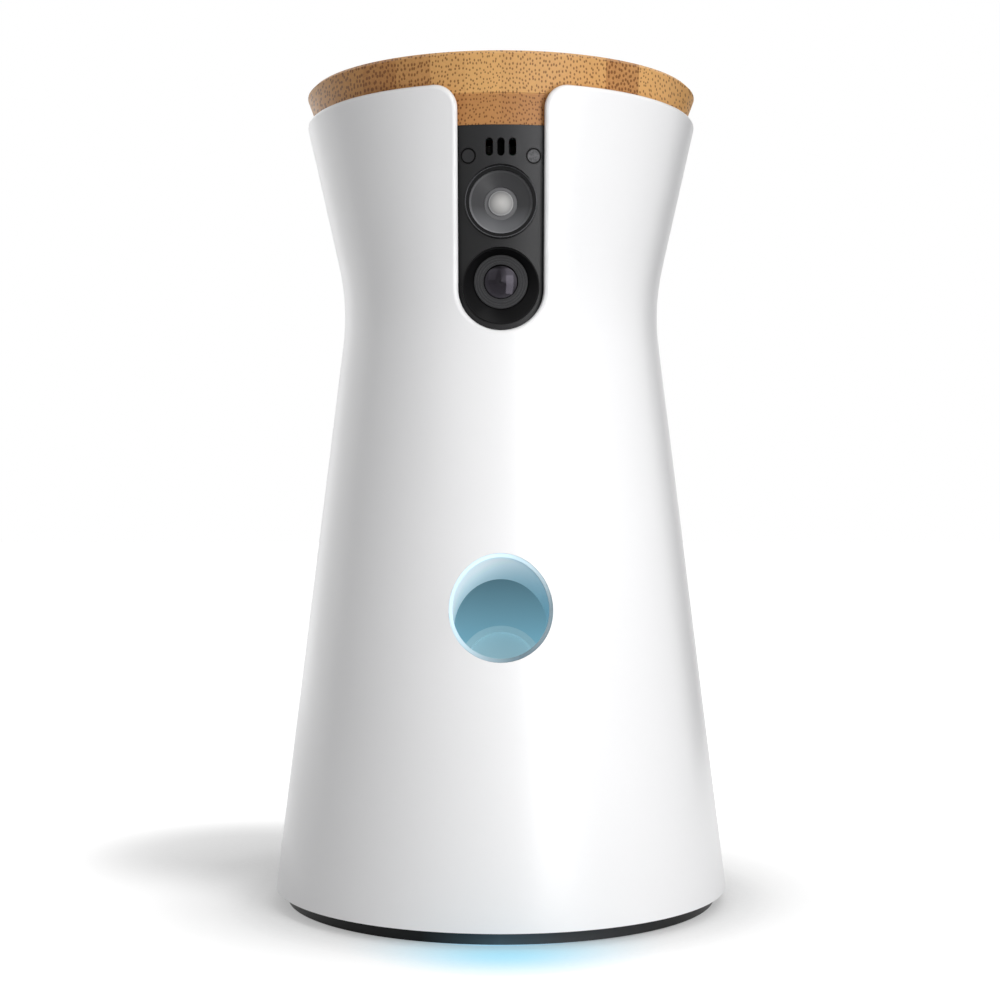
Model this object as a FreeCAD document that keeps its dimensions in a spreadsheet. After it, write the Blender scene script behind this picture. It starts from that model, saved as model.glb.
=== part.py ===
"""Treat tossing pet camera: an hourglass shell with a bamboo lid, a treat hopper with a metering wheel,
a sprung tossing arm behind a round mouth, and a wide-angle camera in the front notch.

Millimetres.  +Z is up, the front faces -Y, and the origin is the middle of the foot on the floor.
Every size is an entry of the sheet.  Sub-parts are bound to those entries by expressions, except the four
gears, whose outlines are worked out from the same entries in code.
"""
import FreeCAD, Part
import math
import os
import re
import Sketcher

SHEET = "sizes"
SIZES = {
    # outer shell: two cones joined by a waist curve
    "shell_bottom": 4.0, "shell_foot_radius": 63.2, "rim_height": 217.0, "rim_radius": 54.6,
    "waist_drop": 50.7, "waist_radius": 43.17, "waist_curve": 65.0, "shell_wall": 2.5, "rim_round": 1.1,
    "notch_width": 22.2, "notch_drop": 50.6, "notch_corner": 6.0, "shell_boss_inset": 7.7,
    "shell_boss_radius": 4.0, "shell_boss_height": 14.0,
    # foot and base
    "foot_inset": 7.2, "foot_width": 9.5, "foot_height": 4.5, "skirt_wall": 1.4, "skirt_bottom": 0.5,
    "base_wall": 3.0, "base_gap": 0.4, "ballast_radius": 43.5, "ballast_gap": 4.0, "ballast_wall": 3.0,
    "guide_wall": 1.8, "guide_gap": 0.3, "guide_bottom": 1.2, "guide_top": 9.5, "guide_angle": 40.0,
    "guide_end_gap": 1.0,
    "led_board_width": 18.0, "led_board_height": 10.0, "led_size": 1.6, "board_wall": 1.2,
    # bamboo lid
    "lid_rise": 8.0, "lid_inset": 0.2, "lid_flare": 3.4, "lid_edge": 0.9, "lid_board_wall": 10.0,
    "lid_step": 0.6, "plug_depth": 9.8, "lid_plug_gap": 0.4, "lid_travel_gap": 0.1,
    "seal_width": 2.6,
    # camera panel and what it holds
    "panel_gap": 0.1, "panel_wall": 2.0, "panel_drop": 68.0, "panel_angle": 44.0,
    "slot_drop": 15.25, "slot_pitch": 2.97, "slot_width": 1.9, "slot_length": 4.5,
    "window_x": 8.4, "window_drop": 17.4, "window_radius": 1.95, "window_depth": 3.2,
    "lamp_drop": 28.75, "lamp_bezel_radius": 9.3, "lamp_reflector_radius": 8.2, "lamp_ring_radius": 4.25,
    "lamp_core_radius": 3.2, "lamp_stem_radius": 1.9, "lamp_depth": 6.0, "lamp_proud": 0.2,
    "reflector_front": 1.2, "reflector_ring": 3.3, "reflector_back": 4.5, "core_face": 1.8,
    "core_ring_front": 3.6, "core_ring_back": 4.8,
    "camera_drop": 50.0, "camera_bezel_radius": 10.0, "camera_ring_radius": 7.0, "camera_lens_radius": 4.5,
    "camera_cone_depth": 2.6, "camera_bezel_depth": 6.0, "camera_setback": 0.3, "lens_rise": 1.4,
    "lens_crown": 1.1,
    "front_board_y": 33.0, "front_board_width": 24.0, "front_board_low": 60.0, "front_board_high": 14.0,
    "mic_radius": 2.6, "mic_length": 2.4, "press_gap": 0.05,
    # hopper and metering wheel
    "hopper_gap": 0.6, "hopper_wall": 1.9, "seal_height": 1.1, "hopper_flat": 29.0,
    "hopper_flange_wall": 1.6, "hopper_flange_width": 2.8,
    "wheel_y": 8.0, "wheel_radius": 27.4, "wheel_gap": 0.6, "wheel_rise": 11.6, "wheel_wall": 11.0,
    "pocket_circle": 19.0, "pocket_radius": 6.6, "pocket_count": 6, "wheel_hub_radius": 9.6,
    "wheel_hub_height": 7.0, "wheel_hub_top_radius": 3.4, "wheel_bore": 2.5,
    "hopper_floor_wall": 2.0, "hopper_floor_gap": 0.5, "hopper_ear_radius": 3.6, "hopper_ear_wall": 2.0,
    "hopper_screw_circle": 33.0,
    "shield_width": 21.0, "shield_gap": 0.9, "shield_edge": 1.6, "shield_rise": 13.0, "shield_hub_gap": 1.4,
    # deck, posts and chute
    "deck_drop": 79.0, "deck_wall": 2.5, "deck_gap": 0.8, "post_x": 30.5, "post_front_y": 22.0,
    "post_rear_y": 24.5, "post_radius": 3.5, "screw_radius": 1.5, "screw_head_radius": 2.7,
    "screw_head_wall": 1.6, "screw_length": 9.0, "screw_gap": 0.05,
    "chute_radius": 7.8, "chute_wall": 1.0, "chute_bottom": 96.0, "chute_flange_radius": 11.5,
    "chute_flange_wall": 1.6, "sensor_size": 5.0,
    # gears
    "wheel_gear_module": 0.8, "wheel_gear_teeth": 20, "wheel_pinion_teeth": 10, "wheel_gear_wall": 4.0,
    "wheel_gear_gap": 1.0, "toss_gear_module": 1.0, "toss_gear_teeth": 32, "toss_pinion_teeth": 10,
    "toss_gear_wall": 3.4, "backlash": 0.16, "motor_shaft_radius": 1.5,
    "sector_from": 70, "sector_to": 168, "sector_hub_radius": 5.4,
    # motors
    "wheel_motor_radius": 7.6, "gearbox_length": 11.0, "wheel_motor_length": 15.0, "toss_motor_radius": 8.0,
    "toss_motor_length": 14.0, "motor_bore_gap": 0.06, "shaft_entry": 2.5,
    "motor_step": 0.8, "motor_boss_radius": 2.5, "motor_boss_length": 1.2, "shaft_hole_gap": 0.1,
    "shaft_end_gap": 0.05,
    # mouth, launch chamber and tossing arm
    "mouth_height": 84.1, "mouth_radius": 12.3, "mouth_wall": 0.9, "mouth_gap": 0.1, "toss_tilt": 24.0,
    "chamber_half_width": 13.0, "chamber_wall": 2.0, "chamber_front": 40.0, "chamber_back": 7.0,
    "chamber_bottom": 45.5, "chamber_round": 6.0,
    "pivot_y": 22.5, "pivot_drop": 5.5, "toss_shaft_radius": 2.0, "running_gap": 0.05, "arm_hub_radius": 4.4,
    "arm_hub_half": 11.8, "arm_wall": 3.0, "arm_neck_width": 12.0, "paddle_centre": 14.2,
    "paddle_radius": 11.4, "paddle_dish_radius": 9.6, "paddle_dish_depth": 1.4,
    "ramp_wall": 1.8, "ramp_end": 26.0, "stop_pad_gap": 0.4, "stop_pad_height": 3.0, "stop_pad_length": 3.0,
    "stop_pad_width": 10.0,
    "bush_radius": 4.0, "bush_flange_radius": 5.4, "bush_flange_wall": 1.0, "shaft_left": 26.2,
    "spring_radius": 4.4, "spring_wire": 1.0, "spring_pitch": 1.25, "spring_turns": 5, "spring_gap": 1.2,
    "spring_end_gap": 0.1,
    "collar_radius": 6.0, "collar_wall": 1.5,
    "toss_gear_gap": 1.0, "motor_plate_gap": 1.4, "motor_plate_wall": 2.0, "motor_plate_low": 46.0,
    "motor_plate_high": 70.5, "motor_plate_front": 38.0, "motor_plate_back": 8.0, "spacer_radius": 2.6,
    "spacer_inset": 4.0, "stand_wall": 2.5, "stand_half_width": 11.0, "stand_foot": 9.0,
    "stand_front": 32.0, "stand_back": 2.0, "switch_height": 72.0, "switch_length": 9.0,
    # boards, speaker, socket and button at the rear
    "main_board_y": 17.5, "main_board_width": 50.0, "main_board_bottom": 12.0, "main_board_drop": 38.0,
    "can_size": 26.0, "can_wall": 3.2, "can_height": 46.0,
    "speaker_height": 95.0, "speaker_radius": 18.0, "speaker_setback": 9.0, "speaker_depth": 13.0,
    "speaker_magnet_radius": 10.5, "speaker_rim": 2.0, "speaker_boss_wall": 2.0, "speaker_wall": 1.2,
    "speaker_magnet_depth": 5.2, "speaker_floor_wall": 1.0, "cone_floor": 7.15, "cone_gap": 0.36,
    "cone_cap_wall": 1.8,
    "grille_pitch": 3.9, "grille_hole": 1.0, "grille_rings": 3,
    "io_board_width": 30.0, "io_board_height": 32.0,
    "socket_height": 14.5, "socket_width": 9.0, "socket_thickness": 3.2, "socket_wall": 0.5,
    "socket_setback": 2.9, "socket_length": 11.8, "socket_opening_width": 12.4, "socket_opening_height": 6.6,
    "button_height": 30.0, "button_radius": 2.6, "button_gap": 0.15, "button_proud": 0.7,
    "button_edge": 0.35, "button_flange": 3.9,
    "button_flange_wall": 1.4, "button_flange_gap": 0.9, "button_travel": 0.8, "button_length": 8.4,
    "switch_size": 6.0, "switch_gap": 0.35,
}

# sizes that follow from others: the upper works hang from the rim, and the lower works keep to the shell
RELATIONS = {
    "lower_slope": "(shell_foot_radius - waist_radius) / (rim_height - waist_drop - shell_bottom)",
    "upper_slope": "(rim_radius - waist_radius) / waist_drop",
    "shell_boss_circle": "shell_foot_radius - shell_boss_inset",
    "foot_radius": "shell_foot_radius - foot_inset",
    "foot_inner_radius": "foot_radius - foot_width",
    "notch_centre": "rim_height - notch_drop",
    "lid_top": "rim_height + lid_rise",
    "lid_radius": "rim_radius - lid_inset",
    "lid_under_radius": "lid_radius - lid_flare",
    "lid_plug_bottom": "rim_height - plug_depth",
    "panel_top": "lid_plug_bottom - lid_travel_gap",
    "panel_bottom": "rim_height - panel_drop",
    "slot_height": "rim_height - slot_drop",
    "window_height": "rim_height - window_drop",
    "lamp_height": "rim_height - lamp_drop",
    "camera_height": "rim_height - camera_drop",
    "lens_height": "camera_height + lens_rise",
    "front_board_top": "rim_height - front_board_high",
    "front_board_bottom": "rim_height - front_board_low",
    "hopper_top": "lid_plug_bottom - seal_height",
    "deck_bottom": "rim_height - deck_drop",
    "wheel_bottom": "deck_bottom + wheel_rise",
    "sensor_height": "(chute_bottom + deck_bottom) / 2 - sensor_size",
    "main_board_top": "deck_bottom - main_board_drop",
    "speaker_front": "shell_foot_radius - lower_slope * (speaker_height - shell_bottom) - speaker_setback",
    "socket_end": "shell_foot_radius - lower_slope * (socket_height - shell_bottom) - socket_setback",
    "io_board_y": "socket_end - socket_length - board_wall",
    # the arm's pivot lies under the lower end of the ramp, which runs on from the mouth's floor
    "mouth_out": "shell_foot_radius - lower_slope * (mouth_height - shell_bottom)",
    "ramp_low": "mouth_height - (mouth_out - ramp_end) * tan(toss_tilt) - mouth_radius / cos(toss_tilt)",
    "pivot_z": "ramp_low - pivot_drop",
}

WORD = re.compile(r"[a-z][a-z0-9_]*")

doc = FreeCAD.newDocument("pet_camera")
sheet = doc.addObject("Spreadsheet::Sheet", SHEET)
sub_parts = []


def fill_sheet():
    """Write every size into the sheet and name its cell, the driving ones before those that follow."""
    entries = [(alias, str(size)) for alias, size in SIZES.items()]
    entries += [(alias, "=" + relation) for alias, relation in RELATIONS.items()]
    for row, (alias, entry) in enumerate(entries, start=1):
        sheet.set("A%d" % row, alias)
        sheet.setAlias("B%d" % row, alias)
        sheet.set("B%d" % row, entry)
    doc.recompute()


def value(expression):
    """The number that an expression over the sheet's names comes to."""
    result = sheet.evalExpression(str(expression))
    return float(getattr(result, "Value", result))


def bind(item, prop, expression):
    """Tie a property to the sheet: each size name in the expression is read from its cell."""
    names = WORD.sub(lambda word: SHEET + "." + word.group() if sheet.getCellFromAlias(word.group())
                     else word.group(), str(expression))
    item.setExpression(prop, names)


def minus(expression):
    return "-(%s)" % expression


def at(item, x="0", y="0", z="0", axis=None, angle="0"):
    """Place an item: a point, and a turn about one of the axes through it."""
    for letter, expression in zip("xyz", (x, y, z)):
        bind(item, "Placement.Base." + letter, expression)
    if axis:
        for letter in "xyz":
            bind(item, "Placement.Rotation.Axis." + letter, "1" if letter == axis else "0")
        bind(item, "Placement.Rotation.Angle", angle)
    return item


def named(item, label):
    """Give a finished sub-part the name that its file and node take."""
    item.Label = label
    sub_parts.append(item)
    return item


# ---- sketches -------------------------------------------------------------------------------------

def sketch_on(body, plane, x="0", y="0", z="0", tilt=None):
    """A sketch on one of the body's own planes, moved in the plane's own directions and tilted about X."""
    origin_plane = [item for item in body.Origin.OriginFeatures if item.Role == plane + "_Plane"][0]
    drawing = body.newObject("Sketcher::SketchObject", body.Name + "_sketch")
    drawing.AttachmentSupport = [(origin_plane, "")]
    drawing.MapMode = "FlatFace"
    for letter, expression in zip("xyz", (x, y, z)):
        bind(drawing, "AttachmentOffset.Base." + letter, expression)
    if tilt:
        bind(drawing, "AttachmentOffset.Rotation.Axis.x", "1")
        bind(drawing, "AttachmentOffset.Rotation.Axis.z", "0")
        bind(drawing, "AttachmentOffset.Rotation.Angle", tilt)
    return drawing


def tie(drawing, kind, *where_and_size):
    """Add one dimension to a sketch and bind it to its expression."""
    *where, expression = where_and_size
    index = drawing.addConstraint(Sketcher.Constraint(kind, *where, value(expression)))
    bind(drawing, "Constraints[%d]" % index, expression)


def arc_between(start, end, radius, side):
    """An arc from start to end; side 1 has its centre on the left of that way, -1 on the right."""
    chord = end - start
    height = math.sqrt(max(radius ** 2 - (chord.Length / 2) ** 2, 0.0))
    left = FreeCAD.Vector(-chord.y, chord.x, 0).normalize()
    centre = (start + end) * 0.5 + left * (side * height)
    first, last = (start, end) if side > 0 else (end, start)
    turn = [math.atan2(point.y - centre.y, point.x - centre.x) for point in (first, last)]
    circle = Part.Circle(centre, FreeCAD.Vector(0, 0, 1), radius)
    return Part.ArcOfCircle(circle, turn[0], turn[1] + (2 * math.pi if turn[1] < turn[0] else 0))


def outline(drawing, corners):
    """A closed outline: corners are (x, y), or (x, y, radius, side) where an arc leads to the next one."""
    points = [FreeCAD.Vector(value(corner[0]), value(corner[1]), 0) for corner in corners]
    first = drawing.GeometryCount
    ends = []
    for index, corner in enumerate(corners):
        here, there = points[index], points[(index + 1) % len(points)]
        if len(corner) == 4:
            radius, side = corner[2], corner[3]
            drawing.addGeometry(arc_between(here, there, value(radius), side))
            tie(drawing, "Radius", first + index, radius)
            ends.append((1, 2) if side > 0 else (2, 1))
        else:
            drawing.addGeometry(Part.LineSegment(here, there))
            ends.append((1, 2))
    for index, corner in enumerate(corners):
        following = (index + 1) % len(corners)
        drawing.addConstraint(Sketcher.Constraint("Coincident", first + index, ends[index][1],
                                                  first + following, ends[following][0]))
        tie(drawing, "DistanceX", first + index, ends[index][0], corner[0])
        tie(drawing, "DistanceY", first + index, ends[index][0], corner[1])


def circle(drawing, x, y, radius):
    index = drawing.addGeometry(Part.Circle(FreeCAD.Vector(value(x), value(y), 0),
                                            FreeCAD.Vector(0, 0, 1), value(radius)))
    tie(drawing, "Radius", index, radius)
    tie(drawing, "DistanceX", index, 3, x)
    tie(drawing, "DistanceY", index, 3, y)


def slot(drawing, x, y, width, length):
    """An upright slot with round ends."""
    half = "(%s) / 2" % width
    low, high = "%s - (%s) / 2 + %s" % (y, length, half), "%s + (%s) / 2 - %s" % (y, length, half)
    left, right = "%s - %s" % (x, half), "%s + %s" % (x, half)
    outline(drawing, [(left, low, half, 1), (x, low + " - " + half, half, 1), (right, low),
                      (right, high, half, 1), (x, high + " + " + half, half, 1), (left, high)])


def rectangle(drawing, x1, y1, x2, y2):
    outline(drawing, [(x1, y1), (x2, y1), (x2, y2), (x1, y2)])


# ---- features -------------------------------------------------------------------------------------

def new_body(name):
    return doc.addObject("PartDesign::Body", name)


def feature(body, kind, drawing, **settings):
    """Add a PartDesign feature; settings are properties, and those given as text are bound."""
    item = body.newObject("PartDesign::" + kind, body.Name + "_" + kind.lower())
    if drawing is not None:
        item.Profile = drawing
    for prop, setting in settings.items():
        if isinstance(setting, str):
            bind(item, prop, setting)
        else:
            setattr(item, prop, setting)
    return item


def pad(body, drawing, length, **settings):
    return feature(body, "Pad", drawing, Length=length, **settings)


def cut(body, kind, drawing, **settings):
    """A pocket or groove, which has to take material away."""
    doc.recompute()
    before = body.Shape.Volume
    item = feature(body, kind, drawing, **settings)
    doc.recompute()
    if body.Shape.Volume >= before:
        raise RuntimeError("%s takes nothing from %s" % (item.Name, body.Name))
    return item


def pocket(body, drawing, length, **settings):
    return cut(body, "Pocket", drawing, Length=length, **settings)


def round_edges(body, radius, chosen):
    """Round the edges that the test picks."""
    doc.recompute()
    edges = ["Edge%d" % number for number, edge in enumerate(body.Shape.Edges, start=1) if chosen(edge)]
    return feature(body, "Fillet", None, Base=(body.Tip, edges), Radius=radius)


def sector(body, corners, kind="Revolution", angle="360"):
    """Turn an outline of (radius, height) corners about Z, evenly to both sides of the front."""
    drawing = sketch_on(body, "YZ")
    mirrored = [(minus(corner[0]), corner[1]) + ((corner[2], -corner[3]) if len(corner) == 4 else ())
                for corner in corners]
    outline(drawing, mirrored)
    settings = dict(ReferenceAxis=(drawing, ["V_Axis"]), Angle=angle, Midplane=True)
    make = feature if kind == "Revolution" else cut
    return make(body, kind, drawing, **settings)


def turned(label, axis, corners, x="0", y="0", z="0"):
    """A turned piece: corners are (radius, distance along the axis) from its own origin."""
    body = new_body(label)
    if axis == "z":
        drawing = sketch_on(body, "XZ")
        outline(drawing, corners)
    else:
        drawing = sketch_on(body, "XZ" if axis == "x" else "YZ")
        outline(drawing, [(corner[1], corner[0]) + ((corner[2], -corner[3]) if len(corner) == 4 else ())
                          for corner in corners])
    feature(body, "Revolution", drawing, ReferenceAxis=(drawing, ["V_Axis" if axis == "z" else "H_Axis"]),
            Angle="360")
    return named(at(body, x, y, z), label)


def tube_corners(inner, outer, low, high):
    return [(inner, low), (outer, low), (outer, high), (inner, high)]


def primitive(kind, **sizes):
    """A Part primitive whose sizes are bound to the sheet."""
    item = doc.addObject("Part::" + kind, kind.lower())
    for prop, expression in sizes.items():
        bind(item, prop, expression)
    return item


def cylinder(radius, height, **place):
    return at(primitive("Cylinder", Radius=radius, Height=height), **place)


def box(x1, x2, y1, y2, z1, z2):
    item = primitive("Box", Length="(%s) - (%s)" % (x2, x1), Width="(%s) - (%s)" % (y2, y1),
                     Height="(%s) - (%s)" % (z2, z1))
    return at(item, x1, y1, z1)


def boolean(kind, *items):
    """Part::Cut takes the second item from the first; MultiFuse and MultiCommon take any number."""
    item = doc.addObject("Part::" + kind, kind.lower())
    if kind == "Cut":
        item.Base, item.Tool = items
    else:
        item.Shapes = list(items)
    return item


# ---- the hourglass --------------------------------------------------------------------------------

HALF_TURN = "((atan(lower_slope) + atan(upper_slope)) / 2)"
FLAT_LOW = "sqrt(1 + lower_slope^2)"
FLAT_HIGH = "sqrt(1 + upper_slope^2)"


def lower_radius(height, inset="0"):
    """Radius of the lower cone at a height, on the face that lies inset behind the outer one."""
    return "(shell_foot_radius - (%s) * %s - lower_slope * ((%s) - shell_bottom))" % (inset, FLAT_LOW, height)


def upper_radius(height, inset="0"):
    return "(rim_radius - (%s) * %s - upper_slope * (rim_height - (%s)))" % (inset, FLAT_HIGH, height)


def crossing(inset="0"):
    """Height at which the two cones would meet."""
    return ("((shell_foot_radius - rim_radius - (%s) * (%s - %s) + lower_slope * shell_bottom"
            " + upper_slope * rim_height) / (lower_slope + upper_slope))" % (inset, FLAT_LOW, FLAT_HIGH))


def waist(inset="0"):
    """Both ends of the waist curve, as (radius, height), and its radius of curvature."""
    curve = "(waist_curve + %s)" % inset
    reach = "%s * tan(%s)" % (curve, HALF_TURN)
    low = "(%s - %s / %s)" % (crossing(inset), reach, FLAT_LOW)
    high = "(%s + %s / %s)" % (crossing(inset), reach, FLAT_HIGH)
    return (lower_radius(low, inset), low), (upper_radius(high, inset), high), curve


def wall_corners(outer, inner, bottom, top):
    """The wall between two insets from a bottom height to a top height, waist curve included."""
    out_low, out_high, out_curve = waist(outer)
    in_low, in_high, in_curve = waist(inner)
    return [(lower_radius(bottom, outer), bottom), out_low + (out_curve, -1), out_high,
            (upper_radius(top, outer), top), (upper_radius(top, inner), top),
            in_high + (in_curve, 1), in_low, (lower_radius(bottom, inner), bottom)]


def panel_wall_corners(outer, inner, bottom, top):
    """As wall_corners, but starting above the lower end of the waist curve."""
    out_low, out_high, out_curve = waist(outer)
    in_low, in_high, in_curve = waist(inner)
    return [(out_low[0], bottom), out_low + (out_curve, -1), out_high,
            (upper_radius(top, outer), top), (upper_radius(top, inner), top),
            in_high + (in_curve, 1), in_low, (in_low[0], bottom)]


def core_solid(inset, bottom, top):
    """The whole round space inside an inset of the shell, to trim pieces against."""
    body = new_body("core")
    low, high, curve = waist(inset)
    drawing = sketch_on(body, "XZ")
    outline(drawing, [("0", bottom), (lower_radius(bottom, inset), bottom), low + (curve, -1), high,
                      (upper_radius(top, inset), top), ("0", top)])
    feature(body, "Revolution", drawing, ReferenceAxis=(drawing, ["V_Axis"]), Angle="360")
    return body


def shell_half(label, front):
    """One half of the shell wall with its two screw bosses."""
    body = new_body(label)
    drawing = sketch_on(body, "XZ")
    outline(drawing, wall_corners("0", "shell_wall", "shell_bottom", "rim_height"))
    feature(body, "Revolution", drawing, ReferenceAxis=(drawing, ["V_Axis"]), Angle="180", Reversed=front)
    bosses = sketch_on(body, "XY", z=BASE_TOP)
    side = "-" if front else ""
    for x_side in ("", "-"):
        circle(bosses, x_side + BOSS_AT, side + BOSS_AT, "shell_boss_radius")
    pad(body, bosses, "shell_boss_height")
    holes = sketch_on(body, "XY", z=BASE_TOP)
    for x_side in ("", "-"):
        circle(holes, x_side + BOSS_AT, side + BOSS_AT, "screw_radius + screw_gap")
    pocket(body, holes, "screw_length", Reversed=True)
    return body


def front_shell():
    """Front half: the notch for the camera panel and the round mouth."""
    body = shell_half("front_shell", True)
    notch = sketch_on(body, "XZ")
    half, corner = "(notch_width / 2)", "notch_corner"
    above = "(rim_height + notch_corner)"
    shoulder = "(rim_height - notch_corner)"
    wide = "(%s + notch_corner)" % half
    outline(notch, [(minus(wide), "rim_height", corner, -1), (minus(half), shoulder),
                    (minus(half), "notch_centre", half, 1), ("0", "notch_centre - " + half, half, 1),
                    (half, "notch_centre"), (half, shoulder, corner, -1), (wide, "rim_height"),
                    (wide, above), (minus(wide), above)])
    pocket(body, notch, "2 * rim_radius", Reversed=True)
    mouth = sketch_on(body, "XZ", y=MOUTH_Z, z="mouth_out", tilt=minus("toss_tilt"))
    circle(mouth, "0", "0", "mouth_radius + mouth_wall + mouth_gap")
    pocket(body, mouth, "2 * mouth_radius", Midplane=True)
    round_edges(body, "rim_round", lambda edge: edge.BoundBox.ZMin > value("rim_height") - 0.01
                and edge.BoundBox.XLength > value("rim_radius") / 2)
    return named(body, "front_shell")


def rear_shell():
    """Rear half: speaker grille, power socket opening and reset button hole."""
    body = shell_half("rear_shell", False)
    centre = sketch_on(body, "XZ", y="speaker_height")
    circle(centre, "0", "0", "grille_hole")
    pocket(body, centre, "2 * rim_radius")
    for ring in range(1, int(value("grille_rings")) + 1):
        drawing = sketch_on(body, "XZ", y="speaker_height")
        circle(drawing, "%d * grille_pitch" % ring, "0", "grille_hole")
        hole = pocket(body, drawing, "2 * rim_radius")
        pattern = body.newObject("PartDesign::PolarPattern", "grille_pattern")
        pattern.Originals = [hole]
        pattern.Axis = (drawing, ["N_Axis"])
        pattern.Angle = 360
        pattern.Occurrences = 6 * ring
        body.Tip = pattern
    openings = sketch_on(body, "XZ")
    rectangle(openings, "-socket_opening_width / 2", "socket_height - socket_opening_height / 2",
              "socket_opening_width / 2", "socket_height + socket_opening_height / 2")
    circle(openings, "0", "button_height", "button_radius + button_gap")
    pocket(body, openings, "2 * rim_radius")
    round_edges(body, "rim_round", lambda edge: edge.BoundBox.ZMin > value("rim_height") - 0.01
                and edge.BoundBox.XLength > value("rim_radius") / 2)
    return named(body, "rear_shell")


# ---- places worked out from the sizes ---------------------------------------------------------------

BASE_TOP = "(foot_height + base_wall)"
BALLAST_TOP = "(foot_height + base_wall + ballast_wall)"
BOSS_AT = "(shell_boss_circle / sqrt(2))"
MOUTH_Z = "mouth_height"
DECK_TOP = "(deck_bottom + deck_wall)"
FLOOR_TOP = "(wheel_bottom - hopper_floor_gap)"
FLOOR_BOTTOM = "(wheel_bottom - hopper_floor_gap - hopper_floor_wall)"
WHEEL_TOP = "(wheel_bottom + wheel_wall)"
DROP_Y = "(wheel_y - pocket_circle)"
PANEL_INSET = "(shell_wall + panel_gap)"
PANEL_BACK = "(shell_wall + panel_gap + panel_wall)"
HOPPER_INSET = "(shell_wall + panel_gap + panel_wall + hopper_gap)"
HOPPER_INNER = "(shell_wall + panel_gap + panel_wall + hopper_gap + hopper_wall)"
LAMP_FRONT = minus(upper_radius("lamp_height + lamp_bezel_radius", PANEL_BACK) + " + lamp_proud")
CAMERA_FRONT = minus(waist(PANEL_INSET)[0][0] + " - camera_setback")
CHAMBER_OUT = "(chamber_half_width + chamber_wall)"
GEAR_LEFT = "(chamber_half_width + chamber_wall + bush_flange_wall + toss_gear_gap)"
PLATE_LEFT = "(%s + toss_gear_wall + motor_plate_gap)" % GEAR_LEFT
PLATE_RIGHT = "(%s + motor_plate_wall)" % PLATE_LEFT
TOSS_CENTRES = "(toss_gear_module * (toss_gear_teeth + toss_pinion_teeth) / 2)"
WHEEL_CENTRES = "(wheel_gear_module * (wheel_gear_teeth + wheel_pinion_teeth) / 2)"
PINION_Y = "(%s - pivot_y)" % TOSS_CENTRES
MOTOR_Y = "(wheel_y + %s)" % WHEEL_CENTRES
WHEEL_GEAR_LOW = "(deck_bottom + deck_wall + wheel_gear_gap)"
SPEAKER_BACK = "(speaker_front - speaker_depth)"
BUTTON_BACK = "(%s + button_proud - button_length)" % lower_radius("button_height")


# ---- foot and base --------------------------------------------------------------------------------

def base_plate():
    """Floor of the shell, with a skirt round its edge that hides the foot and the light guide."""
    body = new_body("base_plate")
    edge = "(%s - base_gap)" % lower_radius(BASE_TOP, "shell_wall")
    skirt_inside = "(%s - skirt_wall)" % edge
    drawing = sketch_on(body, "XZ")
    outline(drawing, [("0", "foot_height"), (skirt_inside, "foot_height"), (skirt_inside, "skirt_bottom"),
                      (edge, "skirt_bottom"), (edge, BASE_TOP), ("0", BASE_TOP)])
    feature(body, "Revolution", drawing, ReferenceAxis=(drawing, ["V_Axis"]), Angle="360")
    holes = sketch_on(body, "XY", z="foot_height")
    for x, y in POSTS + BOSSES:
        circle(holes, x, y, "screw_radius + screw_gap")
    pocket(body, holes, "base_wall", Reversed=True)
    seats = sketch_on(body, "XY", z="foot_height")
    for x, y in BOSSES:
        circle(seats, x, y, "screw_head_radius + screw_gap")
    pocket(body, seats, "screw_head_wall", Reversed=True)
    inner = "(foot_radius + guide_gap / 2)"
    room = tube_corners(inner, skirt_inside, "shell_bottom", BASE_TOP + " + guide_gap")
    sector(body, room, "Groove", "guide_angle + 2 * guide_end_gap")
    return named(body, "base_plate")


def foot_ring():
    return turned("foot_ring", "z", tube_corners("foot_inner_radius", "foot_radius", "0", "foot_height"))


def ballast_plate():
    """Steel disc that keeps the device upright, cut straight in front of the rear board."""
    body = new_body("ballast_disc")
    drawing = sketch_on(body, "XY", z=BASE_TOP)
    circle(drawing, "0", "0", "ballast_radius")
    for x, y in POSTS:
        circle(drawing, x, y, "post_radius + guide_gap")
    pad(body, drawing, "ballast_wall")
    kept = box("-ballast_radius", "ballast_radius", "-ballast_radius", "io_board_y - ballast_gap", BASE_TOP,
               BALLAST_TOP)
    return named(boolean("MultiCommon", body, kept), "ballast_plate")


def light_guide():
    """Clear bar under the front edge of the shell, lit from behind."""
    body = new_body("light_guide")
    inner = "(foot_radius + guide_gap)"
    sector(body, tube_corners(inner, "(%s + guide_wall)" % inner, "guide_bottom", "guide_top"),
           angle="guide_angle")
    return named(body, "light_guide")


def status_light_board():
    front = "(foot_radius - led_size / 2)"
    board = box("-led_board_width / 2", "led_board_width / 2", minus(front), minus(front) + " + board_wall",
                BASE_TOP, BASE_TOP + " + led_board_height")
    lamp = box("-led_size", "led_size", minus("foot_radius"), minus(front), BASE_TOP + " + screw_gap",
               BASE_TOP + " + led_size")
    return named(boolean("MultiFuse", board, lamp), "status_light_board")


def screws(label, places):
    """A group of like screws: each place is x, y, height under the head, and 1 where the shank goes up."""
    pieces = []
    for x, y, seat, way in places:
        low = seat if way > 0 else "%s - screw_length" % seat
        head = "%s - screw_head_wall" % seat if way > 0 else seat
        pieces.append(cylinder("screw_radius", "screw_length", x=x, y=y, z=low))
        pieces.append(cylinder("screw_head_radius", "screw_head_wall", x=x, y=y, z=head))
    return named(boolean("MultiFuse", *pieces), label)


POSTS = [(x_side + "post_x", y) for y in ("-post_front_y", "post_rear_y") for x_side in ("", "-")]
BOSSES = [(x_side + BOSS_AT, y_side + BOSS_AT) for y_side in ("-", "") for x_side in ("", "-")]


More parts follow.
